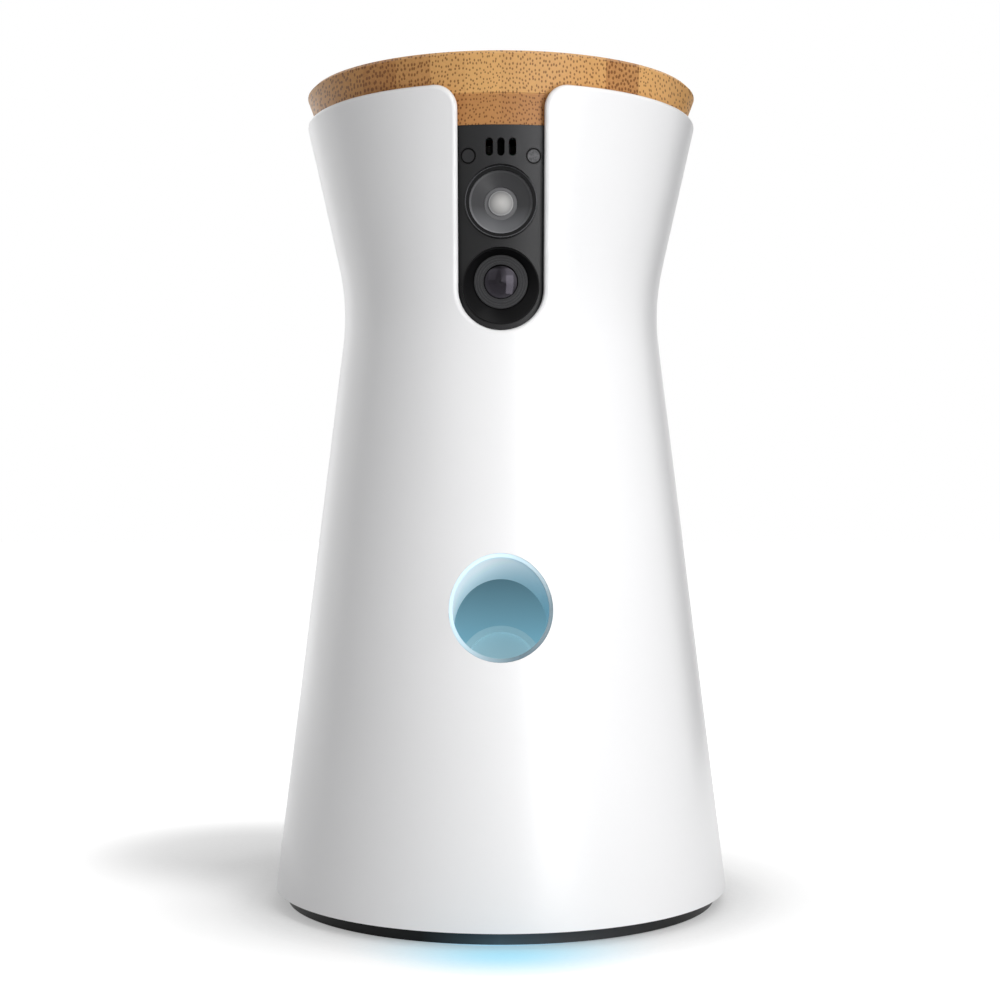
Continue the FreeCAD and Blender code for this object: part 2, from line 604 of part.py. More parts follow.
def deck_posts():
    body = new_body("deck_posts")
    drawing = sketch_on(body, "XY", z=BASE_TOP)
    for x, y in POSTS:
        circle(drawing, x, y, "post_radius")
    pad(body, drawing, "deck_bottom - " + BASE_TOP)
    for height, upward in ((BASE_TOP, True), ("deck_bottom", False)):
        holes = sketch_on(body, "XY", z=height)
        for x, y in POSTS:
            circle(holes, x, y, "screw_radius + screw_gap")
        pocket(body, holes, "screw_length", Reversed=upward)
    return named(body, "deck_posts")


# ---- deck, hopper and metering wheel --------------------------------------------------------------

def mechanism_deck():
    """Round shelf that carries the hopper above and the motor and chute below."""
    body = new_body("mechanism_deck")
    drawing = sketch_on(body, "XY", z="deck_bottom")
    circle(drawing, "0", "0", "%s - deck_gap" % lower_radius(DECK_TOP, "shell_wall"))
    circle(drawing, "0", DROP_Y, "chute_radius + chute_wall + press_gap")
    circle(drawing, "0", "wheel_y", "wheel_bore + running_gap")
    circle(drawing, "0", MOTOR_Y, "motor_shaft_radius + shaft_hole_gap")
    for x, y in POSTS:
        circle(drawing, x, y, "screw_radius + screw_gap")
    for x, y in EARS:
        circle(drawing, x, y, "screw_radius + screw_gap")
    pad(body, drawing, "deck_wall")
    return named(body, "mechanism_deck")


EARS = [("hopper_screw_circle", "wheel_y"), ("-hopper_screw_circle", "wheel_y"),
        ("0", "wheel_y - hopper_screw_circle")]


def hopper_space(inset, flat, bore, low, high):
    """A round flared space with a flat front, which funnels down to a bore about the wheel's axis."""
    neck_top = crossing(inset)
    narrow, wide = upper_radius(neck_top, inset), upper_radius(high, inset)
    rise = "%s - %s" % (high, neck_top)
    flare = at(primitive("Cone", Radius1=narrow, Radius2=wide, Height=rise), z=neck_top)
    waist_part = cylinder(narrow, "%s - %s" % (neck_top, WHEEL_TOP), z=WHEEL_TOP)
    round_part = boolean("MultiFuse", flare, waist_part)
    depth = "(%s - %s)" % (high, WHEEL_TOP)
    funnel = at(primitive("Cone", Radius1=bore, Radius2="%s + %s" % (bore, depth), Height=depth),
                y="wheel_y", z=WHEEL_TOP)
    behind = box("-rim_radius", "rim_radius", minus(flat), "rim_radius", WHEEL_TOP, high)
    bowl = boolean("MultiCommon", round_part, funnel, behind)
    neck = cylinder(bore, "%s - %s" % (WHEEL_TOP, low), y="wheel_y", z=low)
    return boolean("MultiFuse", bowl, neck)


def hopper_inside():
    return hopper_space(HOPPER_INNER, "hopper_flat - hopper_wall", "(wheel_radius + wheel_gap)", FLOOR_TOP,
                        "(hopper_top + hopper_wall)")


def hopper():
    bore = "(wheel_radius + wheel_gap)"
    outside = hopper_space(HOPPER_INSET, "hopper_flat", "(%s + hopper_wall)" % bore, DECK_TOP, "hopper_top")
    rim = upper_radius("hopper_top", HOPPER_INSET)
    flange = boolean("Cut", cylinder(rim, "hopper_flange_wall", z="hopper_top - hopper_flange_wall"),
                     cylinder(rim + " - hopper_flange_width", "2 * hopper_flange_wall",
                              z="hopper_top - 1.5 * hopper_flange_wall"))
    ears = [cylinder("hopper_ear_radius", "hopper_ear_wall", x=x, y=y, z=DECK_TOP) for x, y in EARS]
    ear_holes = [cylinder("screw_radius + screw_gap", "deck_wall + 2 * hopper_ear_wall", x=x, y=y,
                          z="deck_bottom") for x, y in EARS]
    gear_room = cylinder(bore, "%s - deck_bottom" % FLOOR_BOTTOM, y="wheel_y", z="deck_bottom")
    drop_hole = cylinder("chute_radius", "2 * hopper_floor_wall", y=DROP_Y, z=FLOOR_BOTTOM)
    bush_hole = cylinder("bush_radius + press_gap", "2 * hopper_floor_wall", y="wheel_y", z=FLOOR_BOTTOM)
    solid = boolean("MultiFuse", outside, flange, *ears)
    hollow = boolean("MultiFuse", hopper_inside(), gear_room, drop_hole, bush_hole, *ear_holes)
    return named(boolean("Cut", solid, hollow), "hopper")


def treat_shield():
    """Sloped roof over the drop hole, so that only the treat in the pocket falls."""
    body = new_body("shield_wedge")
    drawing = sketch_on(body, "YZ")
    low = "(%s + shield_gap)" % WHEEL_TOP
    rear = "(wheel_y - wheel_hub_radius - shield_hub_gap)"
    outline(drawing, [("-hopper_flat", low), (rear, low), (rear, low + " + shield_edge"),
                      ("-hopper_flat", low + " + shield_edge + shield_rise")])
    pad(body, drawing, "shield_width", Midplane=True)
    return named(boolean("MultiCommon", body, hopper_inside()), "treat_shield")


def metering_wheel():
    body = new_body("metering_wheel")
    drawing = sketch_on(body, "XZ")
    shaft_top = "(%s + wheel_gap)" % WHEEL_TOP
    hub_top = WHEEL_TOP + " + wheel_hub_height"
    outline(drawing, [("wheel_bore", "wheel_bottom"), ("wheel_radius", "wheel_bottom"),
                      ("wheel_radius", WHEEL_TOP), ("wheel_hub_radius", WHEEL_TOP),
                      ("wheel_hub_top_radius", hub_top), ("0", hub_top), ("0", shaft_top),
                      ("wheel_bore", shaft_top)])
    feature(body, "Revolution", drawing, ReferenceAxis=(drawing, ["V_Axis"]), Angle="360")
    holes = sketch_on(body, "XY")
    circle(holes, "0", "-pocket_circle", "pocket_radius")
    hole = pocket(body, holes, WHEEL_TOP + " + wheel_gap", Reversed=True)
    pattern = body.newObject("PartDesign::PolarPattern", "pockets")
    pattern.Originals = [hole]
    pattern.Axis = (holes, ["N_Axis"])
    pattern.Angle = 360
    bind(pattern, "Occurrences", "pocket_count")
    body.Tip = pattern
    return named(at(body, y="wheel_y"), "metering_wheel")


def wheel_shaft():
    """Shaft from just above the deck's underside to the bottom of the hub's blind bore."""
    return named(cylinder("wheel_bore", "%s - deck_bottom" % WHEEL_TOP, y="wheel_y",
                          z="deck_bottom + wheel_gap"), "wheel_shaft")


def wheel_bush():
    return turned("wheel_bush", "z", tube_corners("wheel_bore + running_gap", "bush_radius",
                                                  FLOOR_BOTTOM + " - wheel_gap", FLOOR_TOP), y="wheel_y")


def motor_corners(radius, length):
    """Profile of a gear motor along its shaft: shaft bore, gearbox, narrower can and end boss."""
    bore, reach = "(motor_shaft_radius + motor_bore_gap)", "(shaft_entry + shaft_end_gap)"
    can, can_end = "(%s - motor_step)" % radius, "(gearbox_length + %s)" % length
    boss_end = "(%s + motor_boss_length)" % can_end
    return [("0", reach), (bore, reach), (bore, "0"), (radius, "0"), (radius, "gearbox_length"),
            (can, "gearbox_length"), (can, can_end), ("motor_boss_radius", can_end),
            ("motor_boss_radius", boss_end), ("0", boss_end)]


def wheel_motor():
    """Gear motor under the deck; its output shaft belongs to the pinion."""
    down = motor_corners("wheel_motor_radius", "wheel_motor_length")
    return turned("wheel_motor", "z", [(radius, minus(along)) for radius, along in down],
                  y=MOTOR_Y, z="deck_bottom")


def drop_chute():
    outer = "(chute_radius + chute_wall)"
    flange_low = "deck_bottom - chute_flange_wall"
    corners = [("chute_radius", "chute_bottom"), (outer, "chute_bottom"), (outer, flange_low),
               ("chute_flange_radius", flange_low),
               ("chute_flange_radius", "deck_bottom"), (outer, "deck_bottom"), (outer, FLOOR_BOTTOM),
               ("chute_radius", FLOOR_BOTTOM)]
    return turned("drop_chute", "z", corners, y=DROP_Y)


def treat_sensor():
    """Light barrier across the chute: a lamp on one side and a cell on the other."""
    outer = "(chute_radius + chute_wall)"
    sides = [(minus(outer + " + sensor_size"), minus(outer)), (outer, outer + " + sensor_size")]
    blocks = [box(x1, x2, DROP_Y + " - sensor_size / 2", DROP_Y + " + sensor_size / 2", "sensor_height",
                  "sensor_height + sensor_size") for x1, x2 in sides]
    return named(boolean("MultiFuse", *blocks), "treat_sensor")


# ---- gears ------------------------------------------------------------------------------------------

PRESSURE_ANGLE = math.radians(20)
ADDENDUM, DEDENDUM = 0.85, 1.15


def involute(radius, base):
    angle = math.acos(min(base / radius, 1.0))
    return math.tan(angle) - angle


def gear_solid(module, teeth, bore, thickness):
    """A spur gear about Z with involute flanks, a tooth on the X axis and its back face at z = 0."""
    pitch = module * teeth / 2
    base = pitch * math.cos(PRESSURE_ANGLE)
    tip, root = pitch + ADDENDUM * module, pitch - DEDENDUM * module
    half_tooth = (math.pi * module - value("backlash")) / (4 * pitch) + involute(pitch, base)

    def point(radius, angle):
        return FreeCAD.Vector(radius * math.cos(angle), radius * math.sin(angle), 0)

    def flank(radius):
        return half_tooth - involute(max(radius, base), base)

    start = max(base, root)
    middle = (start + tip) / 2
    edges = []
    for index in range(teeth):
        centre = 2 * math.pi * index / teeth
        following = centre + 2 * math.pi / teeth
        rising = [point(radius, centre - flank(radius)) for radius in (start, middle, tip)]
        falling = [point(radius, centre + flank(radius)) for radius in (tip, middle, start)]
        root_start, root_end = point(root, centre + flank(start)), point(root, following - flank(start))
        edges.append(Part.Arc(*rising).toShape())
        edges.append(Part.Arc(rising[2], point(tip, centre), falling[0]).toShape())
        edges.append(Part.Arc(*falling).toShape())
        if root < base:
            edges.append(Part.LineSegment(falling[2], root_start).toShape())
        edges.append(Part.Arc(root_start, point(root, (centre + following) / 2), root_end).toShape())
        if root < base:
            edges.append(Part.LineSegment(root_end, point(start, following - flank(start))).toShape())
    face = Part.Face(Part.Wire(edges))
    if bore:
        hole = Part.Face(Part.Wire(Part.makeCircle(bore)))
        face = face.cut(hole)
    return face.extrude(FreeCAD.Vector(0, 0, thickness))


def shape_part(label, shape, place):
    item = doc.addObject("Part::Feature", label)
    item.Shape = shape
    item.Placement = place
    return named(item, label)


def wheel_gear():
    shape = gear_solid(value("wheel_gear_module"), int(value("wheel_gear_teeth")), value("wheel_bore"),
                       value("wheel_gear_wall"))
    turn = FreeCAD.Rotation(FreeCAD.Vector(0, 0, 1), 90)
    point = FreeCAD.Vector(0, value("wheel_y"), value(WHEEL_GEAR_LOW))
    return shape_part("wheel_gear", shape, FreeCAD.Placement(point, turn))


def wheel_pinion():
    """Pinion with its shaft, which reaches down through the deck into the gearbox."""
    teeth = int(value("wheel_pinion_teeth"))
    shape = gear_solid(value("wheel_gear_module"), teeth, 0, value("wheel_gear_wall"))
    low = value("deck_bottom - shaft_entry") - value(WHEEL_GEAR_LOW)
    shaft = Part.makeCylinder(value("motor_shaft_radius"), -low + value("wheel_gear_wall") / 2,
                              FreeCAD.Vector(0, 0, low))
    turn = FreeCAD.Rotation(FreeCAD.Vector(0, 0, 1), 270 + 180 / teeth)
    point = FreeCAD.Vector(0, value(MOTOR_Y), value(WHEEL_GEAR_LOW))
    return shape_part("wheel_pinion", shape.fuse(shaft).removeSplitter(), FreeCAD.Placement(point, turn))


ACROSS = FreeCAD.Rotation(FreeCAD.Vector(0, 1, 0), 90)


def toss_gear():
    """Toothed sector on the tossing shaft: only the teeth that the pinion reaches are there."""
    teeth, module = int(value("toss_gear_teeth")), value("toss_gear_module")
    thick, bore = value("toss_gear_wall"), value("toss_shaft_radius")
    full = gear_solid(module, teeth, bore, thick)
    reach = module * teeth
    first, last = value("sector_from"), value("sector_to")
    spread = [math.radians(angle) for angle in (first, (first + last) / 2, last)]
    corners = [FreeCAD.Vector(reach * math.cos(angle), reach * math.sin(angle), 0) for angle in spread]
    fan = Part.Face(Part.makePolygon([FreeCAD.Vector(), *corners, FreeCAD.Vector()]))
    hub = Part.makeCylinder(value("sector_hub_radius"), thick).cut(Part.makeCylinder(bore, thick))
    shape = full.common(fan.extrude(FreeCAD.Vector(0, 0, thick))).fuse(hub).removeSplitter()
    point = FreeCAD.Vector(value(GEAR_LEFT), -value("pivot_y"), value("pivot_z"))
    return shape_part("toss_gear", shape, FreeCAD.Placement(point, ACROSS))


def toss_pinion():
    teeth = int(value("toss_pinion_teeth"))
    shape = gear_solid(value("toss_gear_module"), teeth, 0, value("toss_gear_wall"))
    length = value(PLATE_RIGHT + " + shaft_entry") - value(GEAR_LEFT)
    shaft = Part.makeCylinder(value("motor_shaft_radius"), length)
    turn = ACROSS.multiply(FreeCAD.Rotation(FreeCAD.Vector(0, 0, 1), 270 + 180 / teeth))
    point = FreeCAD.Vector(value(GEAR_LEFT), value(PINION_Y), value("pivot_z"))
    return shape_part("toss_pinion", shape.fuse(shaft).removeSplitter(), FreeCAD.Placement(point, turn))


# ---- launch chamber and tossing arm -------------------------------------------------------------------

def tube_floor(y):
    """Height of the mouth tube's lowest line at a distance y in front of the middle."""
    return "(mouth_height - (mouth_out - (%s)) * tan(toss_tilt) - mouth_radius / cos(toss_tilt))" % y


def mouth_cylinder(radius):
    """A cylinder along the mouth's tilted axis, long enough to pass through shell and chamber wall."""
    reach = "(3 * mouth_radius)"
    return cylinder(radius, "2 * " + reach, y=reach + " * cos(toss_tilt) - mouth_out",
                    z="mouth_height - %s * sin(toss_tilt)" % reach, axis="x", angle="90 - toss_tilt")


def mouth_liner():
    """Tinted tube from the shell's face to the chamber, its rim following the shell."""
    tube = boolean("Cut", mouth_cylinder("mouth_radius + mouth_wall"), mouth_cylinder("mouth_radius"))
    front = box("-2 * mouth_radius", "2 * mouth_radius", "-rim_radius - shell_foot_radius",
                "-chamber_front + chamber_wall", "0", "rim_height")
    inside = core_solid("0", "shell_bottom", "rim_height")
    return named(boolean("MultiCommon", tube, inside, front), "mouth_liner")


def launch_chamber():
    """Box behind the mouth in which the arm swings, with a ramp up to the mouth."""
    body = new_body("launch_chamber")
    top, corner = "chute_bottom", "chamber_round"
    drawing = sketch_on(body, "YZ")
    outline(drawing, [("-chamber_front", "chamber_bottom"),
                      ("chamber_back - " + corner, "chamber_bottom", corner, 1),
                      ("chamber_back", "chamber_bottom + " + corner), ("chamber_back", top),
                      ("-chamber_front", top)])
    pad(body, drawing, "2 * " + CHAMBER_OUT, Midplane=True)
    room = sketch_on(body, "YZ")
    tight = "(chamber_round - chamber_wall)"
    front, back = "(-chamber_front + chamber_wall)", "(chamber_back - chamber_wall)"
    low, high = "(chamber_bottom + chamber_wall)", "(chute_bottom - chamber_wall)"
    outline(room, [(front, low), (back + " - " + tight, low, tight, 1), (back, low + " + " + tight),
                   (back, high), (front, high)])
    pocket(body, room, "2 * chamber_half_width", Midplane=True)
    ramp = sketch_on(body, "YZ")
    drop = "ramp_wall / cos(toss_tilt)"
    ramp_front = "(chamber_front - chamber_wall / 2)"
    high_end, low_end = tube_floor(ramp_front), "ramp_low"
    outline(ramp, [(minus(ramp_front), high_end + " - " + drop), ("-ramp_end", low_end + " - " + drop),
                   ("-ramp_end", low_end), (minus(ramp_front), high_end)])
    pad(body, ramp, "2 * chamber_half_width + chamber_wall", Midplane=True)
    mouth = sketch_on(body, "XZ", y=MOUTH_Z, z="mouth_out", tilt=minus("toss_tilt"))
    circle(mouth, "0", "0", "mouth_radius + mouth_wall + press_gap")
    pocket(body, mouth, "(mouth_out - chamber_front) / cos(toss_tilt) + mouth_radius")
    drop_hole = sketch_on(body, "XY", z=top)
    circle(drop_hole, "0", DROP_Y, "chute_radius")
    pocket(body, drop_hole, "2 * chamber_wall")
    bushes = sketch_on(body, "YZ")
    circle(bushes, "-pivot_y", "pivot_z", "bush_radius + press_gap")
    pocket(body, bushes, "4 * chamber_half_width", Midplane=True)
    return named(body, "launch_chamber")


def stop_pad():
    """Rubber pad on the end of the ramp, against which the arm comes to rest."""
    body = new_body("stop_pad")
    low, top = "ramp_low", "(ramp_low + stop_pad_height)"
    face = ("(-pivot_y + (ramp_low - pivot_z) * tan(toss_tilt) - arm_wall / 2 / cos(toss_tilt)"
            " - stop_pad_gap)")
    front = "-ramp_end - stop_pad_length"
    drawing = sketch_on(body, "YZ")
    outline(drawing, [(front, tube_floor("ramp_end + stop_pad_length")), ("-ramp_end", low),
                      (face, low), (face, top), (front, top)])
    pad(body, drawing, "stop_pad_width", Midplane=True)
    return named(body, "stop_pad")


def toss_arm():
    """Scoop on its hub, drawn lying back along +Y and then raised to the angle at which it lets go."""
    hub = cylinder("arm_hub_radius", "2 * arm_hub_half", x="-arm_hub_half", axis="y", angle="90")
    neck = box("-arm_neck_width / 2", "arm_neck_width / 2", "0", "paddle_centre", "-arm_wall / 2",
               "arm_wall / 2")
    paddle = cylinder("paddle_radius", "arm_wall", y="paddle_centre", z="-arm_wall / 2")
    solid = boolean("MultiFuse", hub, neck, paddle)
    dish = cylinder("paddle_dish_radius", "arm_wall", y="paddle_centre", z="arm_wall / 2 - paddle_dish_depth")
    keep = cylinder("arm_hub_radius", "2 * arm_hub_half", x="-arm_hub_half", axis="y", angle="90")
    bore = cylinder("toss_shaft_radius", "4 * arm_hub_half", x="-2 * arm_hub_half", axis="y", angle="90")
    hollow = boolean("MultiFuse", boolean("Cut", dish, keep), bore)
    arm = boolean("Cut", solid, hollow)
    at(arm, y="-pivot_y", z="pivot_z", axis="x", angle="90 - toss_tilt")
    return named(arm, "toss_arm")


def toss_shaft():
    return turned("toss_shaft", "x", [("0", "-shaft_left"), ("toss_shaft_radius", "-shaft_left"),
                                      ("toss_shaft_radius", PLATE_RIGHT), ("0", PLATE_RIGHT)],
                  y="-pivot_y", z="pivot_z")


def shaft_bush(label, side):
    """Flanged bush in the chamber wall; side is 1 on the motor's side and -1 on the spring's."""
    bore, flange = "(toss_shaft_radius + running_gap)", "(%s + bush_flange_wall)" % CHAMBER_OUT
    corners = [(bore, "chamber_half_width"), ("bush_radius", "chamber_half_width"),
               ("bush_radius", CHAMBER_OUT), ("bush_flange_radius", CHAMBER_OUT),
               ("bush_flange_radius", flange), (bore, flange)]
    if side < 0:
        corners = [(radius, minus(along)) for radius, along in corners]
    return turned(label, "x", corners, y="-pivot_y", z="pivot_z")


SPRING_RIGHT = "(%s + bush_flange_wall + spring_gap)" % CHAMBER_OUT
SPRING_LENGTH = "(spring_turns * spring_pitch)"


def spring_collar():
    """Collar that turns with the shaft, at whose face the spring's moving leg ends."""
    near_end = "(%s + %s + spring_gap)" % (SPRING_RIGHT, SPRING_LENGTH)
    return turned("spring_collar", "x", tube_corners("toss_shaft_radius", "collar_radius",
                                                     minus(near_end + " + collar_wall"), minus(near_end)),
                  y="-pivot_y", z="pivot_z")


def toss_spring():
    """Torsion spring wound round the shaft, with a leg to the bush's flange and a leg to the collar."""
    helix = primitive("Helix", Pitch="spring_pitch", Height=SPRING_LENGTH, Radius="spring_radius")
    wire = primitive("Circle", Radius="spring_wire / 2")
    at(wire, x="spring_radius", axis="x", angle="90")
    sweep = doc.addObject("Part::Sweep", "spring_coil")
    sweep.Sections = [wire]
    sweep.Spine = (helix, [])
    sweep.Solid = True
    sweep.Frenet = False
    reach = "(spring_gap - spring_end_gap)"
    legs = [cylinder("spring_wire / 2", reach, x="spring_radius", z=minus(reach)),
            cylinder("spring_wire / 2", "spring_gap", x="spring_radius", z=SPRING_LENGTH)]
    spring = boolean("MultiFuse", sweep, *legs)
    at(spring, x=minus("%s + %s" % (SPRING_RIGHT, SPRING_LENGTH)), y="-pivot_y", z="pivot_z", axis="y",
       angle="90")
    return named(spring, "toss_spring")


def motor_plate():
    """Side plate beside the chamber that carries the motor and the far end of the shaft."""
    body = new_body("motor_plate")
    drawing = sketch_on(body, "YZ", z=PLATE_LEFT)
    rectangle(drawing, "-motor_plate_front", "motor_plate_low", "motor_plate_back", "motor_plate_high")
    circle(drawing, "-pivot_y", "pivot_z", "toss_shaft_radius + running_gap")
    circle(drawing, PINION_Y, "pivot_z", "motor_shaft_radius + shaft_hole_gap")
    pad(body, drawing, "motor_plate_wall")
    return named(body, "motor_plate")


def plate_spacers():
    body = new_body("plate_spacers")
    drawing = sketch_on(body, "YZ", z=CHAMBER_OUT)
    front, back = "(-motor_plate_front + spacer_inset)", "(motor_plate_back - spacer_inset)"
    low, high = "(motor_plate_low + spacer_inset)", "(motor_plate_high - spacer_inset)"
    for y, z in ((front, low), (front, high), (back, high)):
        circle(drawing, y, z, "spacer_radius")
    pad(body, drawing, "%s - %s" % (PLATE_LEFT, CHAMBER_OUT))
    return named(body, "plate_spacers")


def toss_motor():
    """Gear motor on the outside of the plate, its shaft along the chamber's width."""
    return turned("toss_motor", "x", motor_corners("toss_motor_radius", "toss_motor_length"),
                  x=PLATE_RIGHT, y=PINION_Y, z="pivot_z")


def chamber_stand():
    """Bridge that carries the launch chamber above the ballast plate."""
    body = new_body("chamber_stand")
    drawing = sketch_on(body, "XZ", z="-stand_back")
    half, inner = "stand_half_width", "(stand_half_width - stand_wall)"
    foot, low = "(stand_half_width + stand_foot)", BALLAST_TOP
    top, under = "chamber_bottom", "(chamber_bottom - stand_wall)"
    step = "(%s + stand_wall)" % BALLAST_TOP
    outline(drawing, [(minus(foot), low), (minus(inner), low), (minus(inner), under), (inner, under),
                      (inner, low), (foot, low), (foot, step), (half, step), (half, top),
                      (minus(half), top), (minus(half), step), (minus(foot), step)])
    pad(body, drawing, "stand_front + stand_back")
    return named(body, "chamber_stand")


def arm_switch():
    """Small switch on the chamber's side that senses the arm's position."""
    return named(box(minus(CHAMBER_OUT + " + switch_size"), minus(CHAMBER_OUT), "-switch_size / 2",
                     "switch_length - switch_size / 2", "switch_height", "switch_height + switch_length"),
                 "arm_switch")


# ---- camera panel -----------------------------------------------------------------------------------

def camera_panel():
    body = new_body("camera_panel")
    wall = panel_wall_corners(PANEL_INSET, PANEL_BACK, "panel_bottom", "panel_top")
    sector(body, wall, angle="panel_angle")
    holes = sketch_on(body, "XZ")
    circle(holes, "0", "lamp_height", "lamp_bezel_radius + press_gap")
    circle(holes, "0", "camera_height", "camera_bezel_radius + press_gap")
    for side in ("-", ""):
        circle(holes, side + "window_x", "window_height", "window_radius + press_gap")
    for step in (-1, 0, 1):
        slot(holes, "(%d * slot_pitch)" % step, "slot_height", "slot_width", "slot_length")
    pocket(body, holes, "2 * rim_radius", Reversed=True)
    return named(body, "camera_panel")


def lamp_bezel():
    ring = tube_corners("lamp_reflector_radius + press_gap", "lamp_bezel_radius", "0", "lamp_depth")
    return turned("lamp_bezel", "y", ring, y=LAMP_FRONT, z="lamp_height")


def lamp_reflector():
    """Shallow cone round the lamp."""
    inner = "(lamp_ring_radius + press_gap)"
    corners = [(inner, "reflector_ring"), ("lamp_reflector_radius", "reflector_front"),
               ("lamp_reflector_radius", "reflector_back"), (inner, "reflector_back")]
    return turned("lamp_reflector", "y", corners, y=LAMP_FRONT, z="lamp_height")


def lamp_core():
    """Diffuser with a raised round face, and a stem that leads the light from the board."""
    crown = "((lens_crown^2 + lamp_core_radius^2) / (2 * lens_crown))"
    board = "(-front_board_y - %s)" % LAMP_FRONT
    corners = [("0", "core_face", crown, 1), ("lamp_core_radius", "core_face + lens_crown"),
               ("lamp_core_radius", "core_ring_front"), ("lamp_ring_radius", "core_ring_front"),
               ("lamp_ring_radius", "core_ring_back"), ("lamp_stem_radius", "core_ring_back"),
               ("lamp_stem_radius", board), ("0", board)]
    return turned("lamp_core", "y", corners, y=LAMP_FRONT, z="lamp_height")


def camera_bezel():
    """Bezel with a leaning cone, because the lens sits above the middle of the bezel."""
    body = new_body("camera_bezel")
    rim = sketch_on(body, "XZ")
    circle(rim, "0", "0", "camera_bezel_radius")
    pad(body, rim, "camera_bezel_depth", Reversed=True)
    cone_mouth = sketch_on(body, "XZ")
    circle(cone_mouth, "0", "0", "camera_bezel_radius - camera_setback")
    cone_end = sketch_on(body, "XZ", z=minus("camera_cone_depth"))
    circle(cone_end, "0", "lens_rise", "camera_ring_radius + press_gap")
    cut(body, "SubtractiveLoft", cone_mouth, Sections=[(cone_end, [""])])
    bore = sketch_on(body, "XZ")
    circle(bore, "0", "lens_rise", "camera_ring_radius + press_gap")
    pocket(body, bore, "camera_bezel_depth")
    return named(at(body, y=CAMERA_FRONT, z="camera_height"), "camera_bezel")


def camera_barrel():
    """Lens barrel, closed at the back by the sensor board."""
    seat = "(camera_lens_radius + press_gap)"
    front, back = "(camera_cone_depth - camera_setback)", "(-front_board_y - %s)" % CAMERA_FRONT
    bottom = "(camera_cone_depth + 2 * lens_crown)"
    corners = [(seat, front), ("camera_ring_radius", front), ("camera_ring_radius", back), ("0", back),
               ("0", bottom), (seat, bottom)]
    return turned("camera_barrel", "y", corners, y=CAMERA_FRONT, z="lens_height")


def camera_lens():
    crown = "((lens_crown^2 + camera_lens_radius^2) / (2 * lens_crown))"
    tip = "(camera_cone_depth - lens_crown)"
    bottom = "(camera_cone_depth + 2 * lens_crown - press_gap)"
    corners = [("0", tip, crown, 1), ("camera_lens_radius", tip + " + lens_crown"),
               ("camera_lens_radius", bottom), ("0", bottom)]
    return turned("camera_lens", "y", corners, y=CAMERA_FRONT, z="lens_height")


def front_board():
    return named(box("-front_board_width / 2", "front_board_width / 2", "-front_board_y",
                     "-front_board_y + board_wall", "front_board_bottom", "front_board_top"), "front_board")


def sensor_windows():
    """The two small round windows beside the slots, faced to follow the panel."""
    back = "-%s + window_depth" % upper_radius("window_height", PANEL_INSET)
    discs = [cylinder("window_radius", "rim_radius", x=side + "window_x", y=back, z="window_height", axis="x",
                      angle="90") for side in ("-", "")]
    inside = core_solid(PANEL_INSET + " + panel_gap", "shell_bottom", "rim_height")
    return named(boolean("MultiCommon", boolean("MultiFuse", *discs), inside), "sensor_windows")


def microphone():
    front = minus(upper_radius("slot_height - mic_radius", PANEL_BACK) + " - press_gap")
    return named(cylinder("mic_radius", "mic_length", y=front + " + mic_length", z="slot_height", axis="x",
                          angle="90"), "microphone")


# ---- boards, speaker, socket and button -----------------------------------------------------------------

def main_board():
    return named(box("-main_board_width / 2", "main_board_width / 2", "main_board_y",
                     "main_board_y + board_wall", "main_board_bottom", "main_board_top"), "main_board")


def shield_can():
    face = "(main_board_y + board_wall)"
    return named(box("-can_size / 2", "can_size / 2", face, face + " + can_wall", "can_height - can_size / 2",
                     "can_height + can_size / 2"), "shield_can")


def speaker_boss():
    """Ring that seals the speaker against the curved inside of the shell."""
    outer = "(speaker_radius + speaker_boss_wall)"
    length = "shell_foot_radius"
    ring = boolean("Cut", cylinder(outer, length, y="speaker_front + " + length, z="speaker_height", axis="x",
                                   angle="90"),
                   cylinder("speaker_radius - speaker_wall", "2 * " + length,
                            y="speaker_front + 1.5 * " + length, z="speaker_height", axis="x", angle="90"))
    inside = core_solid("shell_wall + press_gap", "shell_bottom", "rim_height")
    return named(boolean("MultiCommon", ring, inside), "speaker_boss")


def speaker_frame():
    """Speaker basket with the magnet at its back."""
    magnet, rim = "speaker_magnet_radius", "speaker_radius"
    lip, floor = "(speaker_radius - speaker_wall)", "(speaker_magnet_depth + speaker_floor_wall)"
    corners = [("0", "0"), (magnet, "0"), (magnet, "speaker_magnet_depth"),
               (lip, "speaker_depth - 2 * speaker_rim"), (rim, "speaker_depth - speaker_rim"),
               (rim, "speaker_depth"), (lip, "speaker_depth"), (lip, "speaker_depth - speaker_rim"),
               (magnet + " - speaker_rim", floor), ("0", floor)]
    return turned("speaker_frame", "y", corners, y=SPEAKER_BACK, z="speaker_height")


def speaker_cone():
    """Paper cone with its dust cap."""
    edge, cap = "(speaker_radius - speaker_wall - cone_gap)", "(speaker_magnet_radius / 2)"
    high = "(speaker_depth - press_gap)"
    corners = [("0", "cone_floor"), (cap, "cone_floor"), (edge, high + " - speaker_wall"), (edge, high),
               (cap, "cone_floor + speaker_wall"), ("0", "cone_floor + cone_cap_wall")]
    return turned("speaker_cone", "y", corners, y=SPEAKER_BACK, z="speaker_height")


def rear_board():
    return named(box("-io_board_width / 2", "io_board_width / 2", "io_board_y", "io_board_y + board_wall",
                     BASE_TOP, BASE_TOP + " + io_board_height"), "rear_board")


